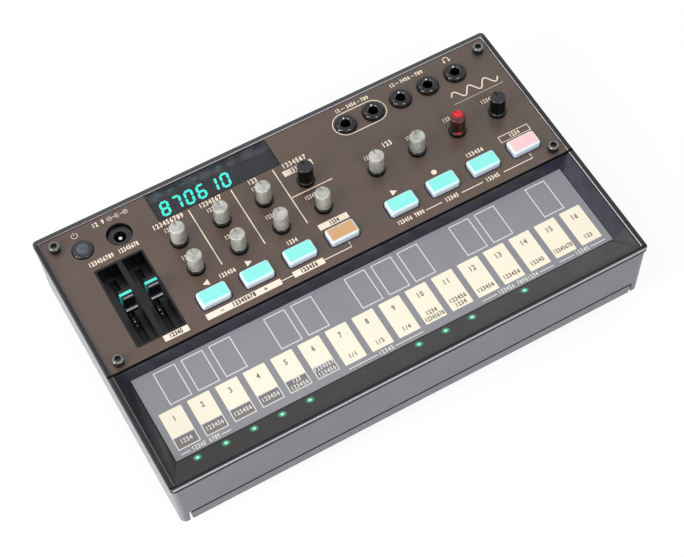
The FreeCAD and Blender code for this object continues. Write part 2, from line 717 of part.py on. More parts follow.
def make_top_cover():
    """Smoked cover: edge band, ledge for the panel and the keyboard tray, in one piece."""
    body = new_body("top_cover")
    outline = level_sketch(body, "cover_outline", band_under)
    rounded_rectangle(outline, -half_width, half_width, -half_depth, half_depth, s.case_corner)
    pad(body, "cover_band", outline, s.band_height)
    plug = level_sketch(body, "plug_outline", ledge_under)
    rectangle(plug, -plug_half, plug_half, -plug_depth, plug_depth)
    pad(body, "cover_plug", plug, band_under - ledge_under)

    rise = s.tray_wall / 2
    outer_top = level_sketch(body, "tray_outer_top", ledge_under)
    rectangle(outer_top, -plug_half, plug_half, -plug_depth, recess_back_top + rise)
    outer_foot = level_sketch(body, "tray_outer_foot", tray_under)
    rectangle(outer_foot, -recess_half_floor - rise, recess_half_floor + rise,
              recess_front_floor - rise, recess_back_floor + s.tray_wall)
    loft(body, "Additive", "tray_outside", outer_top, outer_foot)

    rim = level_sketch(body, "rim_opening", rim_top)
    rounded_rectangle(rim, -opening_half, opening_half, opening_front, opening_back, s.panel_corner)
    pocket(body, "rim_step", rim, s.rim_step)
    seat = level_sketch(body, "panel_seat_outline", panel_top)
    rounded_rectangle(seat, -opening_half, opening_half, panel_front - s.seat_gap, opening_back,
                      s.panel_corner)
    pocket(body, "panel_seat", seat, s.panel_thickness)

    inner_top = level_sketch(body, "recess_top", panel_top)
    rectangle(inner_top, -recess_half_top, recess_half_top, recess_front_top, recess_back_top)
    inner_foot = level_sketch(body, "recess_foot", tray_floor)
    rectangle(inner_foot, -recess_half_floor, recess_half_floor, recess_front_floor, recess_back_floor)
    loft(body, "Subtractive", "recess", inner_top, inner_foot)

    well_half = opening_half - s.ledge_side
    well_front = panel_front - s.seat_gap + s.ledge_front
    well_back = opening_back - s.ledge_back
    narrow_half = well_half - s.ledge_corner
    narrow_front = opening_back - s.ledge_corner_depth
    well = level_sketch(body, "controls_well", panel_under)
    polygon(well, [(-well_half, well_front), (well_half, well_front), (well_half, narrow_front),
                   (narrow_half, narrow_front), (narrow_half, well_back), (-narrow_half, well_back),
                   (-narrow_half, narrow_front), (-well_half, narrow_front)])
    pocket(body, "controls_opening", well, s.ledge_thickness)
    holes = level_sketch(body, "cover_screw_holes", panel_under)
    for x, y in panel_screw_places():
        circle(holes, x, y, s.screw_hole_radius)
    pocket(body, "cover_screw_passages", holes, s.ledge_thickness)

    reach = half_depth.number - s.rim_front.number / 2
    side = half_width.number - s.rim_side.number / 2

    def outer_top_edge(edge):
        box = edge.BoundBox
        far = max(box.XMax, -box.XMin) > side or max(box.YMax, -box.YMin) > reach
        return at_height(edge, rim_top) and far

    def inner_top_edge(edge):
        return at_height(edge, rim_top) and not outer_top_edge(edge)

    soften(body, "rim_inner_rounding", "Fillet", s.rim_inner_rounding, inner_top_edge)
    soften(body, "rim_rounding", "Fillet", s.rim_rounding, outer_top_edge)


def make_front_panel():
    """Flat panel with every opening for the controls."""
    body = new_body("front_panel")
    outline = level_sketch(body, "panel_outline", panel_under)
    rounded_rectangle(outline, -panel_half, panel_half, panel_front, panel_back, s.panel_corner)
    pad(body, "panel_plate", outline, s.panel_thickness)
    rounds = level_sketch(body, "round_holes", panel_top)
    for name, x, y, capped in knob_places():
        circle(rounds, x, y, bushing_radius + s.bushing_gap)
    for index in range(JACKS):
        circle(rounds, jack_x(index), jack_y, s.jack_collar_radius + s.jack_gap)
    for x, y in panel_screw_places():
        circle(rounds, x, y, s.screw_hole_radius)
    circle(rounds, power_x, power_y, power_hole_radius)
    circle(rounds, inlet_x, inlet_y, s.inlet_radius + s.inlet_gap)
    pocket(body, "round_openings", rounds, s.panel_thickness)
    slots = level_sketch(body, "long_holes", panel_top)
    for name, x in button_places():
        rounded_rectangle(slots, x - s.button_hole_width / 2, x + s.button_hole_width / 2,
                          button_y - s.button_hole_depth / 2, button_y + s.button_hole_depth / 2,
                          s.button_hole_corner)
    rounded_rectangle(slots, bezel_left - s.seat_gap, bezel_right + s.seat_gap,
                      bezel_front - s.seat_gap, bezel_back + s.seat_gap, s.bezel_corner)
    rounded_rectangle(slots, window_left - s.seat_gap, window_right + s.seat_gap,
                      window_front - s.seat_gap, window_back + s.seat_gap, s.window_corner)
    pocket(body, "long_openings", slots, s.panel_thickness)


def make_base_shell():
    """Grey frame of four walls with corner legs and screw bosses."""
    body = new_body("base_shell")
    foot_half = base_half - s.base_draft
    outer_top = level_sketch(body, "shell_top", band_under)
    rounded_rectangle(outer_top, -base_half, base_half, -base_front, base_front, s.base_corner)
    outer_foot = level_sketch(body, "shell_foot", leg_foot)
    rounded_rectangle(outer_foot, -foot_half, foot_half, -base_front, base_front, s.base_corner)
    loft(body, "Additive", "shell_outside", outer_foot, outer_top)
    inner_corner = s.base_corner - s.base_wall
    inner_top = level_sketch(body, "cavity_top", band_under)
    rounded_rectangle(inner_top, -base_half + s.base_wall, base_half - s.base_wall,
                      -base_front + s.base_wall, base_front - s.base_wall, inner_corner)
    inner_foot = level_sketch(body, "cavity_foot", leg_foot)
    rounded_rectangle(inner_foot, -foot_half + s.base_wall, foot_half - s.base_wall,
                      -base_front + s.base_wall, base_front - s.base_wall, inner_corner)
    loft(body, "Subtractive", "shell_inside", inner_foot, inner_top)
    leg_inner = half_width - s.leg_inset
    notch = level_sketch(body, "leg_notch", wall_foot)
    rectangle(notch, -leg_inner, leg_inner, -half_depth, half_depth)
    pocket(body, "leg_notches", notch, wall_foot - leg_foot)

    boss_foot = rim_top - s.boss_drop
    root = base_half - s.base_wall / 2
    panel_bosses = level_sketch(body, "panel_boss_outline", boss_foot)
    for x, y in panel_screw_places():
        side = 1 if x.number > 0 else -1
        near, far = side * (screw_x - s.boss_half_width), side * root
        left, right = (near, far) if side > 0 else (far, near)
        rectangle(panel_bosses, left, right, y - s.boss_half_width, y + s.boss_half_width)
    pad(body, "panel_bosses", panel_bosses, ledge_under - boss_foot)
    case_root = root - s.base_draft
    case_bosses = level_sketch(body, "case_boss_outline", plate_top)
    for x, y in case_screw_places():
        side = 1 if x.number > 0 else -1
        near, far = x - side * s.boss_half_width, side * case_root
        left, right = (near, far) if side > 0 else (far, near)
        rectangle(case_bosses, left, right, y - s.boss_half_width, y + s.boss_half_width)
    pad(body, "case_bosses", case_bosses, s.case_boss_height)

    pilot = s.screw_radius + s.pilot_play
    top_holes = level_sketch(body, "panel_pilot_outline", ledge_under)
    for x, y in panel_screw_places():
        circle(top_holes, x, y, pilot)
    pocket(body, "panel_pilots", top_holes, s.screw_length - (panel_top - ledge_under) + s.pilot_extra)
    case_depth = s.case_screw_length - s.plate_thickness + s.pilot_extra
    foot_holes = level_sketch(body, "case_pilot_outline", plate_top + case_depth)
    for x, y in case_screw_places():
        circle(foot_holes, x, y, pilot)
    pocket(body, "case_pilots", foot_holes, case_depth)


def make_bottom_cover():
    """Flange with two stepped lips, a sloped tub, the battery bay and the speaker grille."""
    body = new_body("bottom_cover")
    outline = level_sketch(body, "flange_outline", leg_foot)
    rectangle(outline, -plate_half, plate_half, -base_front, base_front)
    pad(body, "flange", outline, s.plate_thickness)
    lips = level_sketch(body, "lip_outline", plate_top)
    rectangle(lips, -plate_half, plate_half, -base_front, -base_front + s.lip_thickness)
    rectangle(lips, -plate_half, plate_half, base_front - s.lip_thickness, base_front)
    pad(body, "lips", lips, lip_top - plate_top)
    inner, outer = base_front - s.lip_thickness, base_front - s.base_wall - s.cover_play
    tongues = level_sketch(body, "tongue_outline", lip_top)
    rectangle(tongues, -plate_half, plate_half, -outer, -inner)
    rectangle(tongues, -plate_half, plate_half, inner, outer)
    pad(body, "lip_tongues", tongues, wall_foot + s.lip_tongue_rise - lip_top)

    outer_top = level_sketch(body, "tub_outer_top", leg_foot)
    rectangle(outer_top, -tub_half, tub_half, tub_front, tub_back)
    outer_foot = level_sketch(body, "tub_outer_foot", s.tub_height)
    rectangle(outer_foot, -tub_half + s.tub_lean, tub_half - s.tub_lean,
              tub_front + s.tub_lean, tub_back - s.tub_lean)
    loft(body, "Additive", "tub_outside", outer_foot, outer_top)
    wall = s.tub_wall
    inner_top = level_sketch(body, "tub_inner_top", plate_top)
    rectangle(inner_top, -tub_half + wall, tub_half - wall, tub_front + wall, tub_back - wall)
    inner_foot = level_sketch(body, "tub_inner_foot", tub_floor)
    inset = wall + s.tub_lean
    rectangle(inner_foot, -tub_half + inset, tub_half - inset, tub_front + inset, tub_back - inset)
    loft(body, "Subtractive", "tub_inside", inner_foot, inner_top)

    bay = level_sketch(body, "bay_outline", s.tub_height)
    rectangle(bay, -bay_half - s.bay_wall, bay_half + s.bay_wall, bay_front - s.bay_wall,
              bay_back + s.bay_wall)
    pad(body, "bay_walls", bay, bay_roof + s.bay_wall - s.tub_height)
    hollow = level_sketch(body, "bay_hollow", bay_roof)
    rectangle(hollow, -bay_half, bay_half, bay_front, bay_back)
    pocket(body, "bay_inside", hollow, bay_roof - s.tub_height)
    way = level_sketch(body, "door_way_outline", tub_floor)
    rectangle(way, -bay_half, bay_half, tub_front, bay_front + s.bay_wall)
    pocket(body, "door_way", way, tub_floor - s.tub_height)

    seats = level_sketch(body, "foot_seat_outline", s.tub_height + s.foot_sink)
    for x, y in foot_places():
        circle(seats, x, y, s.foot_radius + s.seat_gap)
    pocket(body, "foot_seats", seats, s.foot_sink)
    grille = level_sketch(body, "grille_outline", tub_floor)
    for index in range(GRILLE_SLOTS):
        x = speaker_x + (index - (GRILLE_SLOTS - 1) / 2) * s.grille_pitch
        rectangle(grille, x - s.grille_slot / 2, x + s.grille_slot / 2,
                  speaker_y - s.grille_length / 2, speaker_y + s.grille_length / 2)
    pocket(body, "grille", grille, s.tub_wall)
    holes = level_sketch(body, "case_screw_hole_outline", plate_top)
    for x, y in case_screw_places():
        circle(holes, x, y, s.screw_hole_radius)
    pocket(body, "case_screw_holes", holes, s.plate_thickness)


def make_battery_door():
    """Plate that slides forward out of the tub, with three grip grooves."""
    body = new_body("battery_door")
    front = tub_front + s.tub_lean + s.door_setback
    outline = level_sketch(body, "door_outline", s.tub_height)
    rectangle(outline, -bay_half + s.door_gap, bay_half - s.door_gap, front, bay_back - s.door_gap)
    pad(body, "door_plate", outline, s.door_thickness)
    grooves = level_sketch(body, "grip_outline", s.tub_height + s.door_thickness / 3)
    half = s.door_grip_length / 2
    for index in range(GRIP_GROOVES):
        y = front + (2 * index + 2) * s.door_grip
        rectangle(grooves, -half, half, y, y + s.door_grip)
    pocket(body, "grip_grooves", grooves, s.door_thickness / 3)


def make_rubber_feet():
    feet = []
    for number, (x, y) in enumerate(foot_places(), start=1):
        top = s.tub_height + s.foot_sink
        upper = rod(f"foot_{number}", x, y, s.foot_edge, top, s.foot_radius)
        lower = taper(f"foot_bevel_{number}", x, y, 0, s.foot_edge, s.foot_radius - s.foot_edge,
                      s.foot_radius)
        feet.append(fused(f"foot_whole_{number}", [upper, lower]))
    group("rubber_feet", feet)


def make_panel_screws():
    """Socket head screws that hold the panel and the cover to the base shell."""
    screws = []
    for number, (x, y) in enumerate(panel_screw_places(), start=1):
        head_top = panel_top + s.screw_head_height
        bevel_foot = head_top - s.screw_head_edge
        head = rod(f"panel_screw_head_{number}", x, y, panel_top, bevel_foot, s.screw_head_radius)
        bevel = taper(f"panel_screw_bevel_{number}", x, y, bevel_foot, head_top, s.screw_head_radius,
                      s.screw_head_radius - s.screw_head_edge)
        thread = rod(f"panel_screw_thread_{number}", x, y, panel_top - s.screw_length, panel_top,
                     s.screw_radius)
        whole = fused(f"panel_screw_{number}", [head, bevel, thread])
        hexagon = doc.addObject("Part::Prism", f"panel_screw_hexagon_{number}")
        hexagon.Polygon = 6
        bind(hexagon, "Circumradius", s.screw_socket * CORNER_OVER_FLAT)
        bind(hexagon, "Height", s.screw_socket_depth)
        place(hexagon, x, y, head_top - s.screw_socket_depth)
        screws.append(cut(f"panel_screw_whole_{number}", whole, hexagon))
    group("panel_screws", screws)


def make_case_screws():
    """Screws from below, through the flange into the base shell."""
    screws = []
    for number, (x, y) in enumerate(case_screw_places(), start=1):
        head = rod(f"case_screw_head_{number}", x, y, leg_foot - s.case_screw_head, leg_foot,
                   s.screw_head_radius)
        thread = rod(f"case_screw_thread_{number}", x, y, leg_foot, leg_foot + s.case_screw_length,
                     s.screw_radius)
        screws.append(fused(f"case_screw_{number}", [head, thread]))
    group("case_screws", screws)


# Keyboard and display

def make_keyboard_sheet():
    """Printed sheet on the floor of the recess."""
    edge = s.sheet_margin
    keep(block("keyboard_sheet", -recess_half_floor + edge, recess_half_floor - edge,
               recess_front_floor + edge, recess_back_floor - edge, tray_floor, sheet_top),
         "keyboard_sheet")


def make_display_window():
    body = new_body("display_window")
    outline = level_sketch(body, "window_outline", panel_under)
    rounded_rectangle(outline, window_left, window_right, window_front, window_back,
                      s.window_corner)
    pad(body, "window_plate", outline, s.panel_thickness - s.window_sink)


def make_display_module():
    inset = s.module_inset
    keep(block("display_module", window_left + inset, window_right - inset,
               window_front + inset, control_back, board_top, panel_top - s.module_drop),
         "display_module")


# Boards and what stands on them

def make_boards():
    keep(block("control_board", -control_half, control_half, control_front, control_back, board_under,
               board_top), "control_board")
    keep(block("main_board", main_left, main_right, main_front, main_back, main_under, main_top),
         "main_board")
    touch_half = recess_half_floor - s.touch_board_side
    keep(block("touch_board", -touch_half, touch_half, recess_front_floor - s.touch_board_front,
               recess_back_floor + s.touch_board_back, tray_under - s.board_thickness, tray_under),
         "touch_board")


def make_board_posts():
    """Tall posts carry the control board, short ones the main board."""
    posts = []
    tall = [(x, y) for x in (main_left - s.tall_post_left, speaker_x - s.tall_post_right)
            for y in (bay_wall_back + s.tall_post_front, main_back - s.tall_post_back)]
    for number, (x, y) in enumerate(tall, start=1):
        posts.append(rod(f"tall_post_{number}", x, y, tub_floor, board_under, s.post_radius))
    inset = s.short_post_inset
    short = [(x, y) for x in (main_left + inset, main_right - inset)
             for y in (main_front + inset, main_back - inset)]
    for number, (x, y) in enumerate(short, start=1):
        posts.append(rod(f"short_post_{number}", x, y, tub_floor, main_under, s.post_radius))
    group("board_posts", posts)


def make_board_parts():
    """The ribbon cable's two sockets and the chips."""
    left = main_left
    half = s.cable_width / 2 + s.socket_margin
    front, back = cable_y - half, cable_y + half
    parts = [
        block("lower_socket", left, left + s.socket_depth, front, back, main_top,
              main_top + s.socket_height),
        block("upper_socket", left, left + s.socket_depth, front, back, board_under - s.socket_height,
              board_under),
    ]
    for number, share in enumerate(CHIP_SCALES):
        x = left + s.chip_first + number * s.chip_pitch
        side = share * s.chip_size
        parts.append(centred_block(f"chip_{number}", x, cable_y, side, side, main_top,
                                   main_top + s.chip_height))
    group("board_parts", parts)


def make_ribbon_cable():
    """Flat cable that leaves one socket, turns back over and enters the other."""
    body = new_body("ribbon_cable")
    low = main_top + s.socket_height / 2
    high = board_under - s.socket_height / 2
    middle = (low + high) / 2
    radius = (high - low) / 2
    start = main_left
    centre = start - s.cable_run
    half = s.cable_thickness / 2
    sketch = plane_sketch(body, "cable_profile", "XZ_Plane")
    rings = []
    for bend in (radius + half, radius - half):
        spot = Vector(centre.number, middle.number, 0)
        ring = Part.Circle(spot, Vector(0, 0, 1), bend.number)
        arc = sketch.addGeometry(Part.ArcOfCircle(ring, math.pi / 2, math.pi * 3 / 2), False)
        fix_point(sketch, arc, 3, centre, middle)
        index = sketch.addConstraint(Sketcher.Constraint("Radius", arc, bend.number))
        bind(sketch, f"Constraints[{index}]", bend)
        rings.append(arc)
    outer, inner = rings
    for end, side in ((1, 1), (2, -1)):
        outer_z = (middle + side * (radius + half)).number
        inner_z = (middle + side * (radius - half)).number
        run_outer = sketch.addGeometry(Part.LineSegment(
            Vector(centre.number, outer_z, 0), Vector(start.number, outer_z, 0)), False)
        close = sketch.addGeometry(Part.LineSegment(
            Vector(start.number, outer_z, 0), Vector(start.number, inner_z, 0)), False)
        run_inner = sketch.addGeometry(Part.LineSegment(
            Vector(start.number, inner_z, 0), Vector(centre.number, inner_z, 0)), False)
        sketch.addConstraint(Sketcher.Constraint("Tangent", outer, end, run_outer, 1))
        sketch.addConstraint(Sketcher.Constraint("Coincident", run_outer, 2, close, 1))
        sketch.addConstraint(Sketcher.Constraint("Coincident", close, 2, run_inner, 1))
        sketch.addConstraint(Sketcher.Constraint("Tangent", run_inner, 2, inner, end))
        sketch.addConstraint(Sketcher.Constraint("Horizontal", run_outer))
        sketch.addConstraint(Sketcher.Constraint("Horizontal", run_inner))
        sketch.addConstraint(Sketcher.Constraint("Vertical", close))
        index = sketch.addConstraint(
            Sketcher.Constraint("DistanceX", -1, 1, close, 1, start.number))
        bind(sketch, f"Constraints[{index}]", start)
    pad(body, "cable", sketch, s.cable_width, midplane=True)
    place(body, 0, cable_y, 0)


def make_step_lamps():
    lamps = []
    y = recess_front_floor - s.lamp_front
    first = -recess_half_floor + s.lamp_edge
    pitch = -2 * first / (LAMPS - 1)
    for index in range(LAMPS):
        lamps.append(centred_block(f"lamp_{index + 1}", first + index * pitch, y, s.lamp_length,
                                   s.lamp_depth, tray_under, tray_under + s.lamp_height))
    group("step_lamps", lamps)


def make_pot_bodies():
    """Rotary potentiometers: square body, bushing with a narrower nose, and a blind bore."""
    pots = []
    shoulder = board_top + s.pot_height
    nose_foot = panel_top - s.bushing_drop
    nose_top = panel_top + s.nose_rise
    nose_radius = bushing_radius - s.nose_step
    for number, (name, x, y, capped) in enumerate(knob_places(), start=1):
        parts = [
            centred_block(f"pot_base_{number}", x, y, s.pot_size, s.pot_size, board_top, shoulder),
            rod(f"pot_bushing_{number}", x, y, shoulder, nose_foot, bushing_radius),
            rod(f"pot_nose_{number}", x, y, nose_foot, nose_top - s.nose_edge, nose_radius),
            taper(f"pot_nose_bevel_{number}", x, y, nose_top - s.nose_edge, nose_top, nose_radius,
                  nose_radius - s.nose_edge),
        ]
        bore = rod(f"pot_bore_{number}", x, y, board_top + s.pot_floor, nose_top, bushing_bore)
        pots.append(cut(f"pot_{number}", fused(f"pot_solid_{number}", parts), bore))
    group("pot_bodies", pots)


def make_tact_switches():
    switches = []
    spots = [(x, button_y) for name, x in button_places()] + [(power_x, power_y)]
    for number, (x, y) in enumerate(spots, start=1):
        shoulder = board_top + s.switch_height
        base = centred_block(f"switch_base_{number}", x, y, s.switch_size, s.switch_size, board_top,
                             shoulder)
        plunger = rod(f"switch_plunger_{number}", x, y, shoulder, shoulder + s.plunger_height,
                      s.plunger_radius)
        switches.append(fused(f"switch_{number}", [base, plunger]))
    group("tact_switches", switches)


def slider_x(index):
    first = bezel_left + s.bezel_wall + s.channel_width / 2 + s.slider_offset
    return first + index * (s.channel_width + s.bezel_rib)


def make_slide_pots():
    top = panel_top - s.bezel_depth - s.slide_pot_gap
    slot_length = 2 * (s.slider_travel + s.slot_end) + s.blade_thickness
    pots = []
    for index in range(2):
        base = centred_block(f"slide_base_{index}", slider_x(index), slider_y, s.slide_pot_width,
                             slot_length + 2 * s.slide_pot_end, board_top, top)
        slot = centred_block(f"slide_slot_{index}", slider_x(index), slider_y, s.slot_width,
                             slot_length, top - s.slot_depth, top)
        pots.append(cut(f"slide_pot_{index}", base, slot))
    group("slide_pots", pots)


# Controls that move

def make_plain_knob(name, x, y):
    """Clear plastic knob and its shaft in one piece, with a pointer groove in its top."""
    body = new_body(name)
    foot = board_top + s.pot_floor + s.knob_foot_gap
    revolve(body, name + "_shaft", [(0, foot), (s.shaft_radius, foot), (s.shaft_radius, knob_foot),
                                    (s.knob_radius, knob_foot),
                                    (s.knob_radius - s.knob_taper, knob_top), (0, knob_top)])
    soften(body, name + "_edge", "Fillet", s.knob_edge, lambda edge: at_height(edge, knob_top))
    between = (s.shaft_radius.number + s.knob_radius.number) / 2

    def outer_foot_edge(edge):
        return at_height(edge, knob_foot) and edge.BoundBox.XMax > between

    soften(body, name + "_foot_edge", "Fillet", s.knob_foot_edge, outer_foot_edge)
    mark = level_sketch(body, name + "_mark", knob_top)
    rectangle(mark, -s.knob_mark_width / 2, s.knob_mark_width / 2, s.knob_mark_start,
              s.knob_radius + s.knob_edge)
    pocket(body, name + "_groove", mark, s.knob_mark_depth)
    place(body, x, y, 0)


def make_capped_knob(name, x, y):
    """Potentiometer shaft with a narrow neck, and the dark cap pushed on it."""
    foot = board_top + s.pot_floor + s.knob_foot_gap
    neck = knob_foot - s.cap_shaft_gap
    neck_top = knob_top - s.cap_roof
    shaft = new_body(name + "_shaft")
    revolve(shaft, name + "_turned", [(0, foot), (s.shaft_radius, foot), (s.shaft_radius, neck),
                                      (s.cap_shaft_radius, neck), (s.cap_shaft_radius, neck_top),
                                      (0, neck_top)])
    place(shaft, x, y, 0)
    cap = new_body(name)
    bore = s.cap_shaft_radius + s.cap_shaft_play
    revolve(cap, name + "_outside", [(bore, knob_foot), (s.cap_foot_radius, knob_foot),
                                     (s.cap_top_radius, knob_top), (0, knob_top),
                                     (0, neck_top + s.cap_shaft_play),
                                     (bore, neck_top + s.cap_shaft_play)])
    soften(cap, name + "_edge", "Fillet", s.knob_edge, lambda edge: at_height(edge, knob_top))
    mark = level_sketch(cap, name + "_mark", knob_top)
    rectangle(mark, -s.knob_mark_width / 2, s.knob_mark_width / 2, s.knob_mark_start,
              s.knob_radius + s.knob_edge)
    pocket(cap, name + "_groove", mark, s.knob_mark_depth)
    place(cap, x, y, 0)


def make_knobs():
    for name, x, y, capped in knob_places():
        if capped:
            make_capped_knob(name, x, y)
        else:
            make_plain_knob(name, x, y)


def stem_foot():
    plunger_top = board_top + s.switch_height + s.plunger_height
    return plunger_top + s.button_travel + s.plunger_gap


def make_button(name, x):
    """Translucent rubber key: block, flange under the panel and stem over the switch."""
    body = new_body(name)
    half_x = s.button_hole_width / 2 - s.button_gap
    half_y = s.button_hole_depth / 2 - s.button_gap
    corner = s.button_hole_corner - s.button_gap
    flange_top = panel_under - s.button_seat_gap
    flange_foot = flange_top - s.button_flange
    flange = level_sketch(body, name + "_flange_outline", flange_foot)
    rounded_rectangle(flange, -half_x - s.button_flange, half_x + s.button_flange,
                      -half_y - s.button_flange, half_y + s.button_flange, corner)
    pad(body, name + "_flange", flange, s.button_flange)
    block_outline = level_sketch(body, name + "_outline", flange_foot)
    rounded_rectangle(block_outline, -half_x, half_x, -half_y, half_y, corner)
    button_top = panel_top + s.button_rise
    pad(body, name + "_block", block_outline, button_top - flange_foot)
    soften(body, name + "_edge", "Fillet", s.button_edge, lambda edge: at_height(edge, button_top))
    stem = level_sketch(body, name + "_stem_outline", stem_foot())
    circle(stem, 0, 0, s.button_stem_radius)
    pad(body, name + "_stem", stem, flange_foot - stem_foot())
    place(body, x, button_y, 0)


def make_power_button():
    body = new_body("power_button")
    top = panel_top + s.power_rise
    flange_top = panel_under - s.button_seat_gap
    flange_foot = flange_top - s.button_flange
    wide = power_hole_radius + s.button_flange
    revolve(body, "power_turned", [(0, stem_foot()), (s.button_stem_radius, stem_foot()),
                                   (s.button_stem_radius, flange_foot), (wide, flange_foot),
                                   (wide, flange_top), (s.power_radius, flange_top),
                                   (s.power_radius, top), (0, top)])
    soften(body, "power_edge", "Fillet", s.power_edge, lambda edge: at_height(edge, top))
    place(body, power_x, power_y, 0)


def make_slider(index, side):
    """Black finger cap with a clear blade through it that runs down into the slot."""
    x, y = slider_x(index), slider_y
    cap_top = panel_top + s.cap_rise
    foot_top = panel_top + s.cap_foot_rise
    foot_low = foot_top - s.cap_foot_height
    hole_half = s.blade_thickness / 2 + s.blade_play
    cap = new_body(f"slider_cap_{side}")
    name = f"slider_{side}"
    foot = level_sketch(cap, name + "_foot_outline", foot_low)
    rectangle(foot, -s.cap_foot_width / 2, s.cap_foot_width / 2, -s.cap_foot_length / 2,
              s.cap_foot_length / 2)
    pad(cap, name + "_foot", foot, s.cap_foot_height)
    half_x, half_y = s.cap_width / 2, s.cap_length / 2
    grip_foot = level_sketch(cap, name + "_grip_foot", foot_top)
    rectangle(grip_foot, -half_x, half_x, -half_y - s.cap_lean, half_y + s.cap_lean)
    grip_top = level_sketch(cap, name + "_grip_top", cap_top)
    rectangle(grip_top, -half_x, half_x, -half_y, half_y)
    loft(cap, "Additive", name + "_grip", grip_foot, grip_top)
    soften(cap, name + "_bevel", "Chamfer", s.cap_edge, lambda edge: at_height(edge, cap_top))
    doc.recompute()
    # the blade's slot parts the grip down to the foot, and opens the foot on its left only
    gap = level_sketch(cap, name + "_blade_gap", cap_top)
    rectangle(gap, -s.cap_width, s.cap_width, -hole_half, hole_half)
    pocket(cap, name + "_blade_way", gap, cap_top - foot_top)
    hole = level_sketch(cap, name + "_tongue_hole", foot_top)
    rectangle(hole, -s.cap_width, s.blade_tongue_width / 2 + s.blade_play, -hole_half, hole_half)
    pocket(cap, name + "_tongue_way", hole, s.cap_foot_height)
    place(cap, x, y, 0)

    blade_left, blade_right = -half_x - s.blade_proud, half_x
    skirt_foot = panel_top - s.blade_skirt
    slot_floor = panel_top - s.bezel_depth - s.slide_pot_gap - s.slot_depth
    tongue_foot = slot_floor + s.blade_lift
    blade = new_body(f"slider_blade_{side}")
    profile = plane_sketch(blade, name + "_blade_profile", "XZ_Plane")
    tongue = s.blade_tongue_width / 2
    polygon(profile, [(-tongue, tongue_foot), (tongue, tongue_foot), (tongue, foot_top),
                      (blade_right, foot_top), (blade_right, cap_top), (blade_left, cap_top),
                      (blade_left, foot_top), (-tongue, skirt_foot)])
    pad(blade, name + "_blade", profile, s.blade_thickness, midplane=True)
    place(blade, x, y, 0)


def make_slider_bezel():
    """Black tub with a channel for each slider."""
    body = new_body("slider_bezel")
    foot = panel_top - s.bezel_depth
    outline = level_sketch(body, "bezel_outline", foot)
    rounded_rectangle(outline, bezel_left, bezel_right, bezel_front, bezel_back, s.bezel_corner)
    pad(body, "bezel_block", outline, s.bezel_depth)
    flange_top = panel_under - s.seat_gap
    flange = level_sketch(body, "bezel_flange_outline", flange_top - s.bezel_flange)
    rectangle(flange, bezel_left - s.bezel_flange, bezel_right + s.bezel_flange,
              bezel_front + s.bezel_wall, bezel_back - s.bezel_wall)
    pad(body, "bezel_flange", flange, s.bezel_flange)
    middle = (bezel_left + bezel_right) / 2
    rib = s.bezel_rib / 2
    channels = level_sketch(body, "channel_outline", panel_top)
    front, back = bezel_front + s.bezel_wall, bezel_back - s.bezel_wall
    rectangle(channels, bezel_left + s.bezel_wall, middle - rib, front, back)
    rectangle(channels, middle + rib, bezel_right - s.bezel_wall, front, back)
    pocket(body, "channels", channels, s.bezel_depth)


# Sockets and speaker

def make_jack_socket(index):
    """Small jack: square body, round collar above the panel, countersunk mouth and blind bore."""
    name = f"jack_socket_{index + 1}"
    body = new_body(name)
    shoulder = panel_top - s.jack_body_drop
    half = s.jack_body_size / 2
    outline = level_sketch(body, name + "_outline", board_top)
    rectangle(outline, -half, half, -half, half)
    pad(body, name + "_case", outline, shoulder - board_top)
    top = panel_top + s.jack_collar_rise
    collar = level_sketch(body, name + "_collar_outline", shoulder)
    circle(collar, 0, 0, s.jack_collar_radius)
    pad(body, name + "_collar", collar, top - shoulder)
    soften(body, name + "_rounding", "Fillet", s.jack_collar_edge, lambda edge: at_height(edge, top))
    mouth = plane_sketch(body, name + "_bore_profile", "XZ_Plane")
    throat = top - s.jack_mouth_depth
    floor = throat - s.jack_bore_length
    polygon(mouth, [(0, floor), (s.jack_bore_radius, floor), (s.jack_bore_radius, throat),
                    (s.jack_mouth_radius, top), (0, top)])
    bore = feature(body, "PartDesign::Groove", name + "_bore", mouth)
    bore.ReferenceAxis = (mouth, ["V_Axis"])
    bore.Angle = 360
    place(body, jack_x(index), jack_y, 0)


def make_power_inlet():
    """Coaxial power inlet below the panel, and the metal pin in its middle."""
    shoulder = panel_top - s.inlet_body_drop
    face = panel_top - s.inlet_drop
    floor = face - s.inlet_bore_length
    base = centred_block("inlet_base", inlet_x, inlet_y, s.inlet_body_size, s.inlet_body_size,
                         board_top, shoulder)
    nose = rod("inlet_nose", inlet_x, inlet_y, shoulder, face, s.inlet_radius)
    bore = rod("inlet_bore", inlet_x, inlet_y, floor, face, s.inlet_bore_radius)
    housing = cut("inlet_housing", fused("inlet_solid", [base, nose]), bore)
    pin = rod("inlet_pin", inlet_x, inlet_y, floor, face - s.inlet_pin_drop, s.inlet_pin_radius)
    group("power_inlet", [housing, pin])


def make_speaker():
    """Frame with its magnet, and the cone that faces the grille."""
    x, y = speaker_x, speaker_y
    top = tub_floor + s.speaker_height
    ring = rod("speaker_ring", x, y, tub_floor, top, s.speaker_radius)
    magnet = rod("speaker_magnet", x, y, top, top + s.magnet_height, s.magnet_radius)
    room = taper("speaker_room", x, y, tub_floor, tub_floor + s.cone_depth + s.cone_thickness,
                 s.cone_radius, s.cone_throat)
    keep(cut("speaker_frame", fused("speaker_solid", [ring, magnet]), room), "speaker_frame")
    outside = taper("cone_outside", x, y, tub_floor, tub_floor + s.cone_depth, s.cone_radius - s.cone_gap,
                    s.cone_throat - s.cone_gap)
    inside = taper("cone_inside", x, y, tub_floor, tub_floor + s.cone_depth - s.cone_thickness,
                   s.cone_radius - s.cone_gap - s.cone_thickness, s.cone_throat - s.cone_gap)
    keep(cut("speaker_cone", outside, inside), "speaker_cone")


# Power cells

def cell_rows():
    return [cell_middle + step * cell_pitch for step in (-1, 0, 1)]


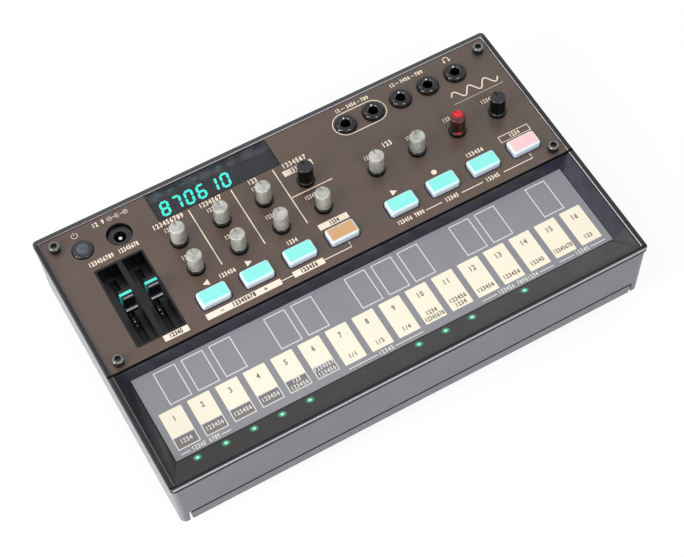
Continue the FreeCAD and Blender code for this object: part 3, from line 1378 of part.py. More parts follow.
def lying_rod(name, left, y, z, length, radius):
    item = doc.addObject("Part::Cylinder", name)
    item.Placement.Rotation = FreeCAD.Rotation(Vector(0, 1, 0), 90)
    bind(item, "Radius", radius)
    bind(item, "Height", length)
    return place(item, left, y, z)


def make_battery_cells():
    """Three rows of two cells, with the nubs to the right."""
    cells = []
    for row, y in enumerate(cell_rows()):
        for column in range(2):
            far = bay_half - s.contact_thickness - s.cell_play
            left = -far if column == 0 else far - s.cell_length - s.nub_length
            can = lying_rod(f"cell_{row}_{column}", left, y, cell_axis, s.cell_length, s.cell_radius)
            nub = lying_rod(f"nub_{row}_{column}", left + s.cell_length, y, cell_axis, s.nub_length,
                            s.nub_radius)
            cells.append(fused(f"cell_whole_{row}_{column}", [can, nub]))
    group("battery_cells", cells)


def make_battery_contacts():
    plates = []
    half = s.contact_size / 2
    for row, y in enumerate(cell_rows()):
        for side in (-1, 1):
            inner, outer = side * (bay_half - s.contact_thickness), side * bay_half
            left, right = (inner, outer) if side > 0 else (outer, inner)
            plates.append(block(f"contact_{row}_{side + 1}", left, right, y - half, y + half,
                                cell_axis - half, cell_axis + half))
    group("battery_contacts", plates)


make_top_cover()
make_front_panel()
make_base_shell()
make_bottom_cover()
make_battery_door()
make_rubber_feet()
make_panel_screws()
make_case_screws()
make_keyboard_sheet()
make_display_window()
make_display_module()
make_boards()
make_board_posts()
make_board_parts()
make_ribbon_cable()
make_step_lamps()
make_pot_bodies()
make_tact_switches()
make_slide_pots()
make_slider_bezel()
make_knobs()
for button_name, button_x in button_places():
    make_button(button_name, button_x)
make_power_button()
for slider_index, slider_side in enumerate(("left", "right")):
    make_slider(slider_index, slider_side)
for jack_index in range(JACKS):
    make_jack_socket(jack_index)
make_power_inlet()
make_speaker()
make_battery_cells()
make_battery_contacts()
doc.recompute()

faults = [item.Name for item in doc.Objects if "Invalid" in item.State or "Error" in item.State]
for piece in pieces:
    if piece.Shape.isNull() or not piece.Shape.isValid() or piece.Shape.Volume <= 0:
        faults.append(piece.Label)
if faults:
    raise RuntimeError("these did not build: " + ", ".join(faults))

os.makedirs("parts", exist_ok=True)
for piece in pieces:
    piece.Shape.exportStep(os.path.join("parts", piece.Label + ".step"))
    box = piece.Shape.BoundBox
    print(f"{piece.Label:24s} solids {len(piece.Shape.Solids):3d} volume {piece.Shape.Volume:10.1f}"
          f"  x {box.XMin:7.2f} {box.XMax:7.2f}  y {box.YMin:7.2f} {box.YMax:7.2f}"
          f"  z {box.ZMin:6.2f} {box.ZMax:6.2f}")
print(len(pieces), "pieces written")
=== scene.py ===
import json
import math

import bmesh
import bpy
from mathutils import Matrix, Vector


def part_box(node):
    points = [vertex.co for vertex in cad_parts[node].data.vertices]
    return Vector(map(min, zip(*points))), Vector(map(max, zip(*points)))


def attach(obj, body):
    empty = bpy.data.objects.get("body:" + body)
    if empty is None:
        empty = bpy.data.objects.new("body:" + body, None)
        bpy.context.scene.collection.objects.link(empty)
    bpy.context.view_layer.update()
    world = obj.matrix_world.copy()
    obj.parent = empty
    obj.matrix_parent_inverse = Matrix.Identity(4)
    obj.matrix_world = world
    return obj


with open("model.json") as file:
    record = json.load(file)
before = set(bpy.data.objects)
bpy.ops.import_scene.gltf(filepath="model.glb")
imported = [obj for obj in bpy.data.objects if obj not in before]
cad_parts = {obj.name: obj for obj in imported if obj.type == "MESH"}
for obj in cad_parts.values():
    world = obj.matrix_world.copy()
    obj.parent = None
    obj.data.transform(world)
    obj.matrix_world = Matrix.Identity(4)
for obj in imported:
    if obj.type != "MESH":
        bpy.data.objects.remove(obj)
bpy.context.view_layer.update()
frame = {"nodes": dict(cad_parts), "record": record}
nodes = frame["nodes"]
scene = bpy.context.scene

# Lengths below are in millimetres, X to the right, Y away from the player, Z up from the table.
MM = 0.001
PRINT = 0.03


def box_of(node):
    """A node's lowest and highest corners at rest."""
    return [[value / MM for value in corner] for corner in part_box(node)]


def top_of(node):
    """The level of a node's top."""
    return box_of(node)[1][2]


def middle_of(node):
    """The X and Y of a node's middle."""
    low, high = box_of(node)
    return (low[0] + high[0]) / 2, (low[1] + high[1]) / 2


PANEL_TOP = top_of("front_panel")
SHEET_TOP = top_of("keyboard_sheet")
SCREW_TOP = top_of("panel_screws")
KNOB_TOP = top_of("knob_left_back_1")
BLADE_TOP = top_of("slider_blade_left")

# the case's front, the rim's top and the inner edges of the rim
cover_low, cover_high = box_of("top_cover")
RIM_SIDE = 2.2
RIM_FRONT = 1.6
RIM_TOP = cover_high[2]
CASE_FRONT = cover_low[1]
OPENING_HALF = cover_high[0] - RIM_SIDE
OPENING_FRONT = CASE_FRONT + RIM_FRONT
OPENING_BACK = cover_high[1] - RIM_SIDE
# the level where the rim's outer side starts
FLANK_TOP = RIM_TOP - 0.75
# the bar between the panel and the keyboard's recess
BAR_BACK = box_of("front_panel")[0][1] - 0.1
BAR_FRONT = BAR_BACK - 0.7
# the feet of the recess's slopes, and the top of its front slope
sheet_low, sheet_high = box_of("keyboard_sheet")
SHEET_MARGIN = 0.25
RECESS_HALF = sheet_high[0] + SHEET_MARGIN
RECESS_FRONT = sheet_low[1] - SHEET_MARGIN
RECESS_BACK = sheet_high[1] + SHEET_MARGIN
SLOPE_FOOT = Vector((0, RECESS_FRONT, sheet_low[2]))
SLOPE_TOP = Vector((0, CASE_FRONT + 1.8, PANEL_TOP))
# where the base shell and the bottom cover have a painted shadow in their seams: start, end
SHELL_SEAM = (RIM_TOP - 2.5, RIM_TOP - 2.2)
LIP_SEAM = (13.0, 13.12)
# a lit button, across and along, at its flat top and at its foot under the panel
BUTTON_TOP = (11.7, 6.55)
BUTTON_FOOT = (13.3, 8.15)
# where a slow change of tone from left to right starts and ends
TONE_LEFT = -90.0
TONE_RIGHT = 90.0
# most values of a noise lie between these
NOISE_LOW = 0.3
NOISE_HIGH = 0.7
# specular levels: a black side with the full one would look grey at a low angle
FULL_GLOSS = 0.5
LOW_GLOSS = 0.05
# the glow of a lamp that is out
UNLIT_GLOW = 0.05
BLACK = (0, 0, 0)


def linear(red, green, blue):
    """A display colour from 0 to 255 as the linear colour that the shaders take."""
    shares = [value / 255 for value in (red, green, blue)]
    return (*[v / 12.92 if v <= 0.04045 else ((v + 0.055) / 1.055) ** 2.4 for v in shares], 1.0)


# Materials

def add_node(tree, kind, *sources, **settings):
    """A new node, whose inputs take sockets, numbers or display colours in order."""
    node = tree.nodes.new(kind)
    for key, value in settings.items():
        setattr(node, key, value)
    for socket, source in zip(node.inputs, sources):
        feed(tree, socket, source)
    return node


def feed(tree, socket, source):
    if isinstance(source, bpy.types.NodeSocket):
        tree.links.new(source, socket)
    elif isinstance(source, tuple):
        socket.default_value = linear(*source)
    else:
        socket.default_value = source


class Paint:
    """A node material around one principled shader, with short ways to feed it."""

    def __init__(self, name, roughness=0.4, **sockets):
        self.name = name
        self.material = bpy.data.materials.new(name)
        self.material.use_nodes = True
        self.tree = self.material.node_tree
        self.shader = self.tree.nodes["Principled BSDF"]
        self.set("Roughness", roughness)
        for socket, value in sockets.items():
            self.set(socket.replace("_", " "), value)
        places = self.add("ShaderNodeTexCoord")
        self.spot = places.outputs["Object"]
        self.share = places.outputs["Generated"]

    def add(self, kind, *sources, **settings):
        return add_node(self.tree, kind, *sources, **settings)

    def set(self, name, value):
        feed(self.tree, self.shader.inputs[name], value)

    def colour(self, value):
        self.set("Base Color", value)

    def axis(self, letter):
        """The object's X, Y or Z in millimetres."""
        return self.math("MULTIPLY", self.add("ShaderNodeSeparateXYZ", self.spot).outputs[letter], 1 / MM)

    def part(self, letter):
        """The share of the object's own box along X, Y or Z."""
        return self.add("ShaderNodeSeparateXYZ", self.share).outputs[letter]

    def away(self, x, y):
        """Distance in millimetres from an upright axis."""
        across = self.math("SUBTRACT", self.axis("X"), x)
        along = self.math("SUBTRACT", self.axis("Y"), y)
        squares = [self.math("MULTIPLY", side, side) for side in (across, along)]
        return self.math("SQRT", self.math("ADD", *squares))

    def math(self, operation, *values):
        return self.add("ShaderNodeMath", *values, operation=operation).outputs[0]

    def both(self, first, second):
        """High where both of two shares are high."""
        return self.math("MULTIPLY", first, second)

    def either(self, first, second):
        """High where one of two shares is high."""
        return self.math("MAXIMUM", first, second)

    def span(self, value, low, high, start=0.0, end=1.0):
        """Start below low, end above high, and a straight change between."""
        return self.add("ShaderNodeMapRange", value, low, high, start, end).outputs[0]

    def edge(self, letter, place, low, high, start=0.0, end=1.0):
        """A change along X, Y or Z between two distances from a place."""
        return self.span(self.axis(letter), place + low, place + high, start, end)

    def from_left(self):
        """A share that grows slowly from left to right."""
        return self.span(self.axis("X"), TONE_LEFT, TONE_RIGHT)

    def noise(self, grain, detail=3.0, stretch=(1, 1, 1)):
        """Noise whose features are about grain millimetres across."""
        mapping = self.add("ShaderNodeMapping", self.spot)
        mapping.inputs["Scale"].default_value = stretch
        node = self.add("ShaderNodeTexNoise", mapping.outputs[0])
        node.inputs["Scale"].default_value = 1 / (grain * MM)
        node.inputs["Detail"].default_value = detail
        return node.outputs["Fac"]

    def mottle(self, grain, detail=3.0, stretch=(1, 1, 1), low=NOISE_LOW, high=NOISE_HIGH, **ends):
        """Noise as a share."""
        return self.span(self.noise(grain, detail, stretch), low, high, **ends)

    def mix(self, share, first, second):
        node = self.add("ShaderNodeMix", share, data_type="RGBA")
        feed(self.tree, node.inputs[6], first)
        feed(self.tree, node.inputs[7], second)
        return node.outputs[2]

    def bump(self, height, depth, strength=1.0):
        node = self.add("ShaderNodeBump", strength, depth * MM)
        feed(self.tree, node.inputs["Height"], height)
        self.set("Normal", node.outputs[0])

    def grain(self, noise, depth, smooth, rough):
        """A noise that bumps the surface and changes its gloss."""
        self.set("Roughness", self.span(noise, NOISE_LOW, NOISE_HIGH, smooth, rough))
        self.bump(noise, depth)


def moulded(name, dark, light, roughness, grain=0.35, depth=0.01, cloud=9.0, **sockets):
    """Moulded plastic: a slow change of tone, a fine grain and a little change of gloss."""
    paint = Paint(name, **sockets)
    paint.colour(paint.mix(paint.mottle(cloud), dark, light))
    paint.grain(paint.noise(grain, 2.0), depth, roughness * 0.88, roughness * 1.12)
    return paint


def recess_tone(paint, smoke, slow):
    """The recess's slopes: blue at the back and the right, grey at the left and in front; these tones are
    partly the plastic's tint and partly painted reflection.
    """
    blue = paint.mix(paint.mottle(9.0, 4.0, (1, 1, 2), 0.35), (34, 34, 46), (52, 52, 68))
    # the front slope: partly the backing seen through the plastic, partly a painted sheen; lighter to the
    # right and darker near its top edge
    front = paint.mix(paint.from_left(), (20, 20, 22), paint.mix(slow, (46, 46, 47), (60, 60, 60)))
    front = paint.mix(paint.edge("Y", SLOPE_TOP.y, 2.7, 0.3), front, (24, 24, 26))
    at_left = paint.edge("X", -RECESS_HALF, 0.1, -0.2)
    at_right = paint.edge("X", RECESS_HALF, -0.1, 0.2)
    at_back = paint.edge("Y", RECESS_BACK, -0.55, -0.25)
    at_front = paint.edge("Y", RECESS_FRONT, 0.15, -0.15)
    tone = paint.mix(at_left, smoke, (38, 40, 45))
    tone = paint.mix(paint.either(at_back, at_right), tone, blue)
    return paint.mix(at_front, tone, front)


def rim_tone(paint, smoke, outwards, flank):
    """The rim: painted highlights along its inner edge, stronger towards the right, and along its front
    outer edge; paler at the back and near black on its outer side.
    """
    on_top = paint.both(paint.edge("Z", RIM_TOP, -0.3, -0.25), paint.edge("Y", OPENING_FRONT, 0.0, 0.4))
    inner = paint.both(on_top, paint.span(outwards, 0.36, 0.3))
    inner = paint.both(inner, paint.edge("X", 0.0, -96.0, 10.0, 0.35))
    outer = paint.both(paint.edge("Y", CASE_FRONT, 0.45, 0.4), paint.edge("Z", FLANK_TOP, 0.0, 0.07))
    flat = paint.mix(paint.edge("Y", OPENING_BACK, -0.3, 0.0), smoke, (62, 61, 61))
    # pale grey painted highlights on the edges
    return paint.mix(paint.either(inner, outer), paint.mix(flank, flat, (4, 4, 5)), (164, 164, 170))


def crease_shade_lines(paint):
    """Painted shade in the creases along the front rim's inner edge and along the bar between the panel
    and the recess.
    """
    front = paint.both(paint.edge("Y", OPENING_FRONT, -0.42, -0.36),
                       paint.edge("Y", OPENING_FRONT, 0.12, 0.04))
    bar = paint.both(paint.edge("Y", BAR_FRONT, -0.25, -0.2), paint.edge("Y", BAR_BACK, 0.0, -0.1))
    return paint.both(paint.either(front, bar), paint.edge("Z", PANEL_TOP, -0.3, -0.2))


def make_smoked_cover():
    """Smoked gloss plastic, with painted highlights and painted shade on the rim, and tones on the slopes
    of the recess that are partly painted reflection.
    """
    paint = Paint("smoked_cover", roughness=0.1)
    slow = paint.mottle(16.0, low=0.35)
    smoke = paint.mix(slow, (12, 12, 15), (24, 24, 29))
    # distance outwards from the rim's inner edge at the sides and the back
    outwards = paint.either(paint.math("SUBTRACT", paint.math("ABSOLUTE", paint.axis("X")), OPENING_HALF),
                            paint.math("SUBTRACT", paint.axis("Y"), OPENING_BACK))
    flank = paint.edge("Z", FLANK_TOP, 0.0, -0.07)
    lines = crease_shade_lines(paint)
    # the creases get near black painted shade
    rim = paint.mix(lines, rim_tone(paint, smoke, outwards, flank), (2, 2, 2))
    inside = paint.mix(paint.span(outwards, -0.4, -0.3), recess_tone(paint, smoke, slow), rim)
    below = paint.edge("Z", PANEL_TOP, -0.1, -0.3)
    paint.colour(paint.mix(below, rim, inside))
    outside = paint.either(paint.span(outwards, 1.2, 1.3), paint.edge("Y", OPENING_FRONT, -1.2, -1.3))
    dull = paint.either(lines, paint.both(flank, outside))
    paint.set("Specular IOR Level", paint.span(dull, 0.0, 1.0, FULL_GLOSS, LOW_GLOSS))
    paint.set("Roughness", paint.span(slow, 0.0, 1.0, 0.08, 0.13))
    paint.bump(paint.noise(7.0, 2.0), 0.03, 0.5)
    return paint


def make_satin_grey(name, dark, light, seam, shadow, gloss):
    """Satin grey moulding with a painted shadow in its seam, between the two levels of the seam."""
    paint = Paint(name, Specular_IOR_Level=0.4)
    in_seam = paint.span(paint.axis("Z"), *seam)
    paint.colour(paint.mix(in_seam, paint.mix(paint.mottle(9.0), dark, light), shadow))
    paint.grain(paint.noise(0.35, 2.0), 0.01, *gloss)
    return paint


def make_bronze_panel():
    """Bronze satin paint over a plate: a slow mottle, a fine sparkle and a cut edge painted dark as shade.
    """
    paint = Paint("bronze_panel", Specular_IOR_Level=0.6)
    slow = paint.mottle(22.0)
    left = paint.mix(slow, (85, 68, 60), (91, 73, 64))
    right = paint.mix(slow, (85, 71, 62), (91, 76, 66))
    edge = paint.edge("Z", PANEL_TOP, -0.05, -0.15)
    # the cut edge is near black: painted shade in the gaps round the holes
    paint.colour(paint.mix(edge, paint.mix(paint.from_left(), left, right), (30, 26, 24)))
    paint.grain(paint.noise(0.25, 2.0), 0.006, 0.28, 0.36)
    return paint


def make_screw():
    """Dark nickel head with a brighter top."""
    paint = Paint("dark_screw", Metallic=0.9)
    grain = paint.noise(0.6)
    tone_share = paint.span(grain, NOISE_LOW, NOISE_HIGH)
    side = paint.mix(tone_share, (50, 51, 51), (70, 71, 70))
    bright = paint.mix(tone_share, (92, 94, 94), (142, 142, 140))
    top = paint.edge("Z", SCREW_TOP, -0.4, -0.15)
    paint.colour(paint.mix(top, side, bright))
    paint.grain(grain, 0.01, 0.2, 0.34)
    return paint


def make_clear_knob():
    """Clear plastic seen as grey-olive, with soft streaks inside, painted shade on its lower half, a
    painted highlight at its foot and a paler top.
    """
    paint = Paint("clear_knob", roughness=0.1, Transmission_Weight=0.12, IOR=1.5)
    streak = paint.mottle(2.4, 2.0, (1, 1, 0.5), 0.35, 0.65)
    side = paint.mix(streak, (158, 157, 149), (180, 179, 171))
    # painted shade on the lower half
    lower = paint.mix(paint.edge("Z", PANEL_TOP, 4.9, 4.1, 0.0, 0.5), side, (138, 137, 129))
    # painted highlight along the foot
    foot = paint.mix(paint.edge("Z", PANEL_TOP, 2.7, 2.4), lower, (196, 196, 188))
    top = paint.mix(streak, (168, 168, 161), (206, 206, 198))
    paint.colour(paint.mix(paint.edge("Z", KNOB_TOP, -0.5, -0.1), foot, top))
    paint.bump(paint.noise(1.1, 2.0), 0.03)
    return paint


def make_black_cap():
    """Black gloss cap with a slightly greyer top."""
    paint = Paint("black_cap", roughness=0.1)
    top = paint.edge("Z", KNOB_TOP, -0.6, -0.2)
    paint.set("Specular IOR Level", paint.span(top, 0.0, 1.0, LOW_GLOSS, FULL_GLOSS))
    cloud = paint.mottle(1.5)
    side = paint.mix(cloud, (8, 8, 9), (14, 14, 16))
    paint.colour(paint.mix(top, side, paint.mix(cloud, (30, 30, 35), (40, 40, 46))))
    paint.bump(paint.noise(0.6, 2.0), 0.006)
    return paint


def make_milky_button(name, lit):
    """Milky rubber, lit through its flat top, with a pale border and painted shade on its foot under the
    panel.
    """
    paint = Paint(name, roughness=0.32, Emission_Strength=0.32)
    # millimetres inwards from the flat top's edges
    inward = []
    for letter, top, foot in zip("XY", BUTTON_TOP, BUTTON_FOOT):
        off_middle = paint.math("ABSOLUTE", paint.math("SUBTRACT", paint.part(letter), 0.5))
        inward.append(paint.math("MULTIPLY", paint.math("SUBTRACT", top / foot / 2, off_middle), foot))
    flat = paint.span(paint.math("MINIMUM", *inward), 0.15, 1.05)
    face = paint.both(paint.edge("Z", PANEL_TOP, 2.3, 2.8), flat)
    lamp = paint.mix(paint.math("MULTIPLY", paint.mottle(5.0), 0.08), lit, (236, 255, 252))
    pale = paint.mix(paint.edge("Z", PANEL_TOP, 0.0, 2.6), (184, 192, 214), (214, 238, 242))
    # painted shade on the part under the panel
    milk = paint.mix(paint.edge("Z", PANEL_TOP, -0.5, -0.1), (22, 22, 26), pale)
    glow = paint.mix(paint.edge("Z", PANEL_TOP, -0.4, 0.2), BLACK, pale)
    paint.colour(paint.mix(face, milk, paint.mix(0.35, lamp, BLACK)))
    paint.set("Emission Color", paint.mix(face, paint.mix(0.62, glow, BLACK), lamp))
    paint.bump(paint.noise(0.4, 2.0), 0.008)
    return paint


def make_red_cap():
    """Dark red translucent cap, with a painted red glow at the back of its top and at its foot."""
    paint = Paint("red_cap", roughness=0.12, Transmission_Weight=0.1, Emission_Strength=0.75)
    x, y = middle_of("knob_right_3")
    top = paint.edge("Z", KNOB_TOP, -1.6, -0.3)
    # painted glow, given as emission: a spot at the back of the top and a blob at the foot
    over_glow = paint.both(top, paint.span(paint.away(x + 0.3, y + 1.1), 2.6, 0.6))
    off_glow = paint.math("ABSOLUTE", paint.math("SUBTRACT", paint.axis("X"), x - 1.1))
    foot = paint.both(paint.edge("Z", PANEL_TOP, 3.4, 2.4, 0.0, 0.8), paint.span(off_glow, 1.5, 0.4))
    spots = paint.mottle(0.9, 2.0, low=0.36, high=0.6, start=0.25)
    share = paint.both(paint.either(over_glow, foot), spots)
    side = paint.mix(paint.edge("Z", PANEL_TOP, 3.0, 6.5), (24, 3, 6), (34, 9, 10))
    paint.colour(paint.mix(share, paint.mix(top, side, (84, 22, 28)), (215, 24, 30)))
    paint.set("Emission Color", paint.mix(share, (10, 0, 0), (255, 26, 40)))
    paint.bump(paint.noise(0.8), 0.03)
    return paint


def make_power_button():
    """Smoked domed button with a paler cloudy middle and a dark rim: painted light and shade on the dome.
    """
    paint = Paint("smoked_button", roughness=0.12)
    away = paint.away(*middle_of("power_button"))
    heart = paint.mix(paint.mottle(2.2, low=0.35, high=0.65), (62, 66, 76), (98, 101, 110))
    rim = paint.mix(paint.span(away, 2.9, 3.9), (44, 48, 58), (16, 17, 21))
    paint.colour(paint.mix(paint.span(away, 2.5, 1.9), rim, heart))
    paint.bump(paint.noise(1.2), 0.02)
    return paint


def make_jack(name, **sockets):
    """Black gloss plastic."""
    paint = Paint(name, **sockets)
    paint.colour(paint.mix(paint.mottle(2.5), (6, 6, 8), (13, 13, 17)))
    paint.bump(paint.noise(1.5, 2.0), 0.006)
    return paint


def make_power_inlet():
    """Black satin housing with a small pin in the middle of its black bore, and a painted glint on the
    pin's tip.
    """
    paint = Paint("power_inlet")
    away = paint.away(*middle_of("power_inlet"))
    pin = paint.span(away, 1.2, 1.1)
    # painted glint on the pin's tip
    tip = paint.mix(paint.span(away, 0.75, 0.5), (58, 58, 60), (235, 235, 235))
    housing = paint.mix(paint.mottle(2.0), (22, 25, 31), (44, 47, 53))
    around_pin = paint.mix(paint.span(away, 2.45, 2.35), housing, (6, 6, 7))
    paint.colour(paint.mix(pin, around_pin, tip))
    paint.set("Metallic", pin)
    paint.set("Roughness", paint.span(pin, 0.0, 1.0, 0.25, 0.3))
    paint.bump(paint.noise(0.5, 2.0), 0.01)
    return paint


def make_metal(name, dark, light, roughness):
    """Metal whose grain changes its tone and its gloss."""
    paint = Paint(name, Metallic=0.95)
    grain = paint.noise(0.8, 4.0)
    paint.colour(paint.mix(paint.span(grain, NOISE_LOW, NOISE_HIGH), dark, light))
    paint.grain(grain, 0.01, roughness * 0.8, roughness * 1.2)
    return paint


def make_board():
    """Green solder mask with a darker pattern of tracks."""
    paint = Paint("green_board", roughness=0.35)
    cells = paint.add("ShaderNodeTexVoronoi", paint.spot, distance="CHEBYCHEV")
    cells.inputs["Scale"].default_value = 260.0
    tracks = paint.span(cells.outputs["Distance"], 0.30, 0.36)
    paint.colour(paint.mix(tracks, (24, 92, 52), (16, 66, 38)))
    paint.bump(tracks, 0.03)
    return paint


def make_window():
    """Smoked clear window that darkens what lies under it, with a soft mottle along its back."""
    paint = Paint("smoked_window", roughness=0.03, Alpha=0.45, Specular_IOR_Level=0.8)
    back = box_of("display_window")[1][1]
    along_back = paint.edge("Y", back, -4.5, -3.5)
    share = paint.both(paint.mottle(3.4, 1.0, (1.0, 0.6, 1.0), 0.42, 0.62), along_back)
    paint.colour(paint.mix(share, (38, 40, 47), (78, 82, 92)))
    paint.set("Roughness", paint.span(share, 0.0, 1.0, 0.03, 0.12))
    return paint


def make_lamp_glow():
    """A lamp seen through the smoked slope: it fades into the slope's tone, which is partly a painted
    sheen.
    """
    paint = Paint("lamp_glow", roughness=0.1, Emission_Strength=1.0)
    share = paint.add("ShaderNodeAttribute", attribute_name="glow").outputs["Fac"]
    slope = paint.mix(paint.from_left(), (20, 20, 22), (53, 53, 54))
    slope = paint.mix(paint.span(share, 0.0, UNLIT_GLOW, 0.0, 0.6), slope, (84, 88, 86))
    paint.colour(paint.mix(paint.span(share, 0.05, 0.4), slope, (8, 66, 46)))
    halo = paint.mix(paint.span(share, 0.05, 0.38), BLACK, (0, 168, 108))
    paint.set("Emission Color", paint.mix(paint.span(share, 0.42, 0.66), halo, (176, 255, 226)))
    return paint


def make_digit_light():
    """A lit segment, a little uneven."""
    paint = Paint("digit_light", roughness=0.25, Emission_Strength=3.4)
    cloud = paint.mottle(1.2, end=0.18)
    paint.colour(paint.mix(cloud, (10, 60, 55), (20, 240, 222)))
    paint.set("Emission Color", paint.mix(cloud, (20, 240, 222), (160, 255, 245)))
    return paint


def make_blade():
    """Clear blade that carries light up to its top edge; below the panel it does not glow and is painted
    dark as shade.
    """
    paint = Paint("cyan_blade", roughness=0.15, Emission_Strength=0.55)
    edge = paint.mix(paint.mottle(0.9, end=0.2), (62, 226, 210), (150, 250, 240))
    side = paint.mix(paint.edge("Z", BLADE_TOP, -7.5, -0.5), (12, 84, 76), (34, 160, 146))
    lit = paint.mix(paint.edge("Z", BLADE_TOP, -0.4, -0.05), side, edge)
    below = paint.edge("Z", PANEL_TOP, 0.1, -0.5)
    paint.colour(paint.mix(0.5, paint.mix(below, lit, (10, 12, 13)), BLACK))
    paint.set("Emission Color", paint.mix(below, lit, BLACK))
    return paint


def make_ink(name, colour, speck):
    """Screen print: a flat tone with tiny specks of another."""
    paint = Paint(name, roughness=0.5, Specular_IOR_Level=0.3)
    specks = paint.mottle(0.3, 2.0, low=0.62, high=0.72, end=0.35)
    paint.colour(paint.mix(specks, colour, speck))
    return paint


# one paint for each material slot
SLOT_PAINTS = (
    make_smoked_cover(),
    make_satin_grey("grey_shell", (109, 110, 117), (116, 117, 124), SHELL_SEAM, (20, 20, 23), (0.3, 0.38)),
    make_satin_grey("grey_cover", (112, 113, 119), (120, 121, 127), LIP_SEAM, (14, 14, 16), (0.32, 0.42)),
    moulded("grey_door", (118, 119, 125), (128, 129, 135), 0.38),
    make_bronze_panel(),
    make_screw(),
    moulded("foot_rubber", (26, 26, 27), (38, 38, 39), 0.75, grain=0.8, depth=0.03),
    make_window(),
    moulded("display_black", (20, 22, 26), (30, 32, 37), 0.3),
    moulded("black_satin", (7, 7, 9), (13, 13, 16), 0.24, Specular_IOR_Level=0.4),
    moulded("printed_sheet", (136, 137, 142), (142, 143, 148), 0.4, grain=0.3, depth=0.006, cloud=30.0,
            Specular_IOR_Level=0.35),
    make_board(),
    moulded("lamp_clear", (150, 190, 160), (200, 230, 205), 0.2),
    make_metal("brass_post", (176, 138, 76), (200, 160, 92), 0.3),
    make_jack("black_gloss", roughness=0.12),
    make_metal("steel_case", (118, 118, 120), (140, 140, 142), 0.35),
    moulded("speaker_paper", (26, 26, 26), (40, 40, 39), 0.85, grain=1.0, depth=0.05),
    moulded("cell_jacket", (58, 60, 66), (72, 74, 80), 0.25),
    make_metal("nickel_contact", (176, 176, 172), (198, 198, 194), 0.2),
    moulded("cable_grey", (146, 146, 146), (168, 168, 168), 0.5),
    moulded("chip_black", (20, 20, 21), (34, 34, 35), 0.6),
    make_power_button(),
    make_red_cap(),
    make_black_cap(),
    make_clear_knob(),
    make_milky_button("milky_button", (138, 246, 236)),
    make_blade(),
)
PAINTS = {paint.name: paint for paint in SLOT_PAINTS}
# nodes whose finish differs from the rest of their slot
OWN_PAINTS = {
    "button_left_4": make_milky_button("amber_button", (216, 164, 110)),
    "button_right_4": make_milky_button("pink_button", (255, 206, 211)),
    "power_inlet": make_power_inlet(),
    "pot_bodies": moulded("pot_black", (7, 7, 8), (13, 13, 14), 0.28),
    "slide_pots": moulded("slide_pot_black", (30, 30, 33), (46, 46, 50), 0.4, grain=0.5),
}
INK_TONES = {
    "cream": ((250, 234, 214), (214, 196, 176)),
    "dim": ((224, 206, 188), (176, 158, 142)),
    "white": ((226, 226, 222), (190, 190, 190)),
    "key": ((248, 239, 218), (238, 229, 208)),
    "field": ((122, 118, 117), (132, 128, 127)),
    "number": ((108, 98, 88), (150, 140, 128)),
    "dark": ((44, 36, 32), (90, 78, 70)),
    # painted highlights on the slider caps' edges
    "cap_highlight": ((186, 188, 194), (140, 142, 148)),
    "black": ((14, 12, 12), (30, 27, 26)),
    # painted glints on the studs in the sliders' slots
    "stud": ((236, 238, 240), (200, 202, 206)),
}
INKS = {name: make_ink(name + "_ink", *tones) for name, tones in INK_TONES.items()}

for part in frame["record"]["subparts"]:
    paint = OWN_PAINTS.get(part["node"], PAINTS[part["material_slot"]])
    slots = nodes[part["node"]].data.materials
    slots.clear()
    slots.append(paint.material)


# Making pieces

def new_object(name, data):
    made = bpy.data.objects.new(name, data)
    scene.collection.objects.link(made)
    return made


def add_piece(name, form, paint, body="case", weld=None, smooth=False):
    """A piece that rides on a body, from a bmesh that was filled in millimetres."""
    if weld:
        bmesh.ops.remove_doubles(form, verts=form.verts, dist=weld)
    bmesh.ops.transform(form, matrix=Matrix.Scale(MM, 4), verts=form.verts)
    bmesh.ops.recalc_face_normals(form, faces=form.faces)
    for face in form.faces:
        face.smooth = face.smooth or smooth
    mesh = bpy.data.meshes.new(name)
    form.to_mesh(mesh)
    form.free()
    mesh.materials.append(paint.material)
    piece = new_object(name, mesh)
    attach(piece, body)


def slab(form, outline, low, high):
    """A closed prism over an outline of X and Y."""
    lower = [form.verts.new((x, y, low)) for x, y in outline]
    upper = [form.verts.new((x, y, high)) for x, y in outline]
    form.faces.new(upper)
    form.faces.new(lower[::-1])
    count = len(outline)
    for i in range(count):
        j = (i + 1) % count
        form.faces.new((lower[i], lower[j], upper[j], upper[i]))


def ring_faces(form, rows):
    """Faces between rows of as many points each, round the rows and along them."""
    steps, count = len(rows), len(rows[0])
    for i in range(steps):
        here, after = rows[i], rows[(i + 1) % steps]
        for k in range(count):
            n = (k + 1) % count
            form.faces.new((here[k], after[k], after[n], here[n]))


def band(form, outer, inner, low, high):
    """A closed frame between two outlines of as many points."""
    corners = ((outer, low), (outer, high), (inner, high), (inner, low))
    ring_faces(form, [[form.verts.new((x, y, z)) for x, y in line] for line, z in corners])


def turned(form, x, y, profile, steps=40):
    """A closed ring turned about a vertical axis, from a closed profile of radius and height."""
    turns = [2 * math.pi * i / steps for i in range(steps)]
    ring_faces(form, [[form.verts.new((x + r * math.cos(turn), y + r * math.sin(turn), z))
                       for r, z in profile] for turn in turns])


def box_outline(left, right, front, back):
    return [(left, front), (right, front), (right, back), (left, back)]


def round_outline(x, y, radius, steps=32, start=0.0, turn=360.0):
    """A circle, or an arc that ends at its last point."""
    share = math.radians(turn) / steps
    first = math.radians(start)
    return [(x + radius * math.cos(first + i * share), y + radius * math.sin(first + i * share))
            for i in range(steps + (turn < 360))]


def soft_outline(left, right, front, back, radius, steps=6):
    """A rectangle with rounded corners."""
    corners = [(right - radius, back - radius, 0), (left + radius, back - radius, 90),
               (left + radius, front + radius, 180), (right - radius, front + radius, 270)]
    return [point for x, y, start in corners for point in round_outline(x, y, radius, steps, start, 90)]


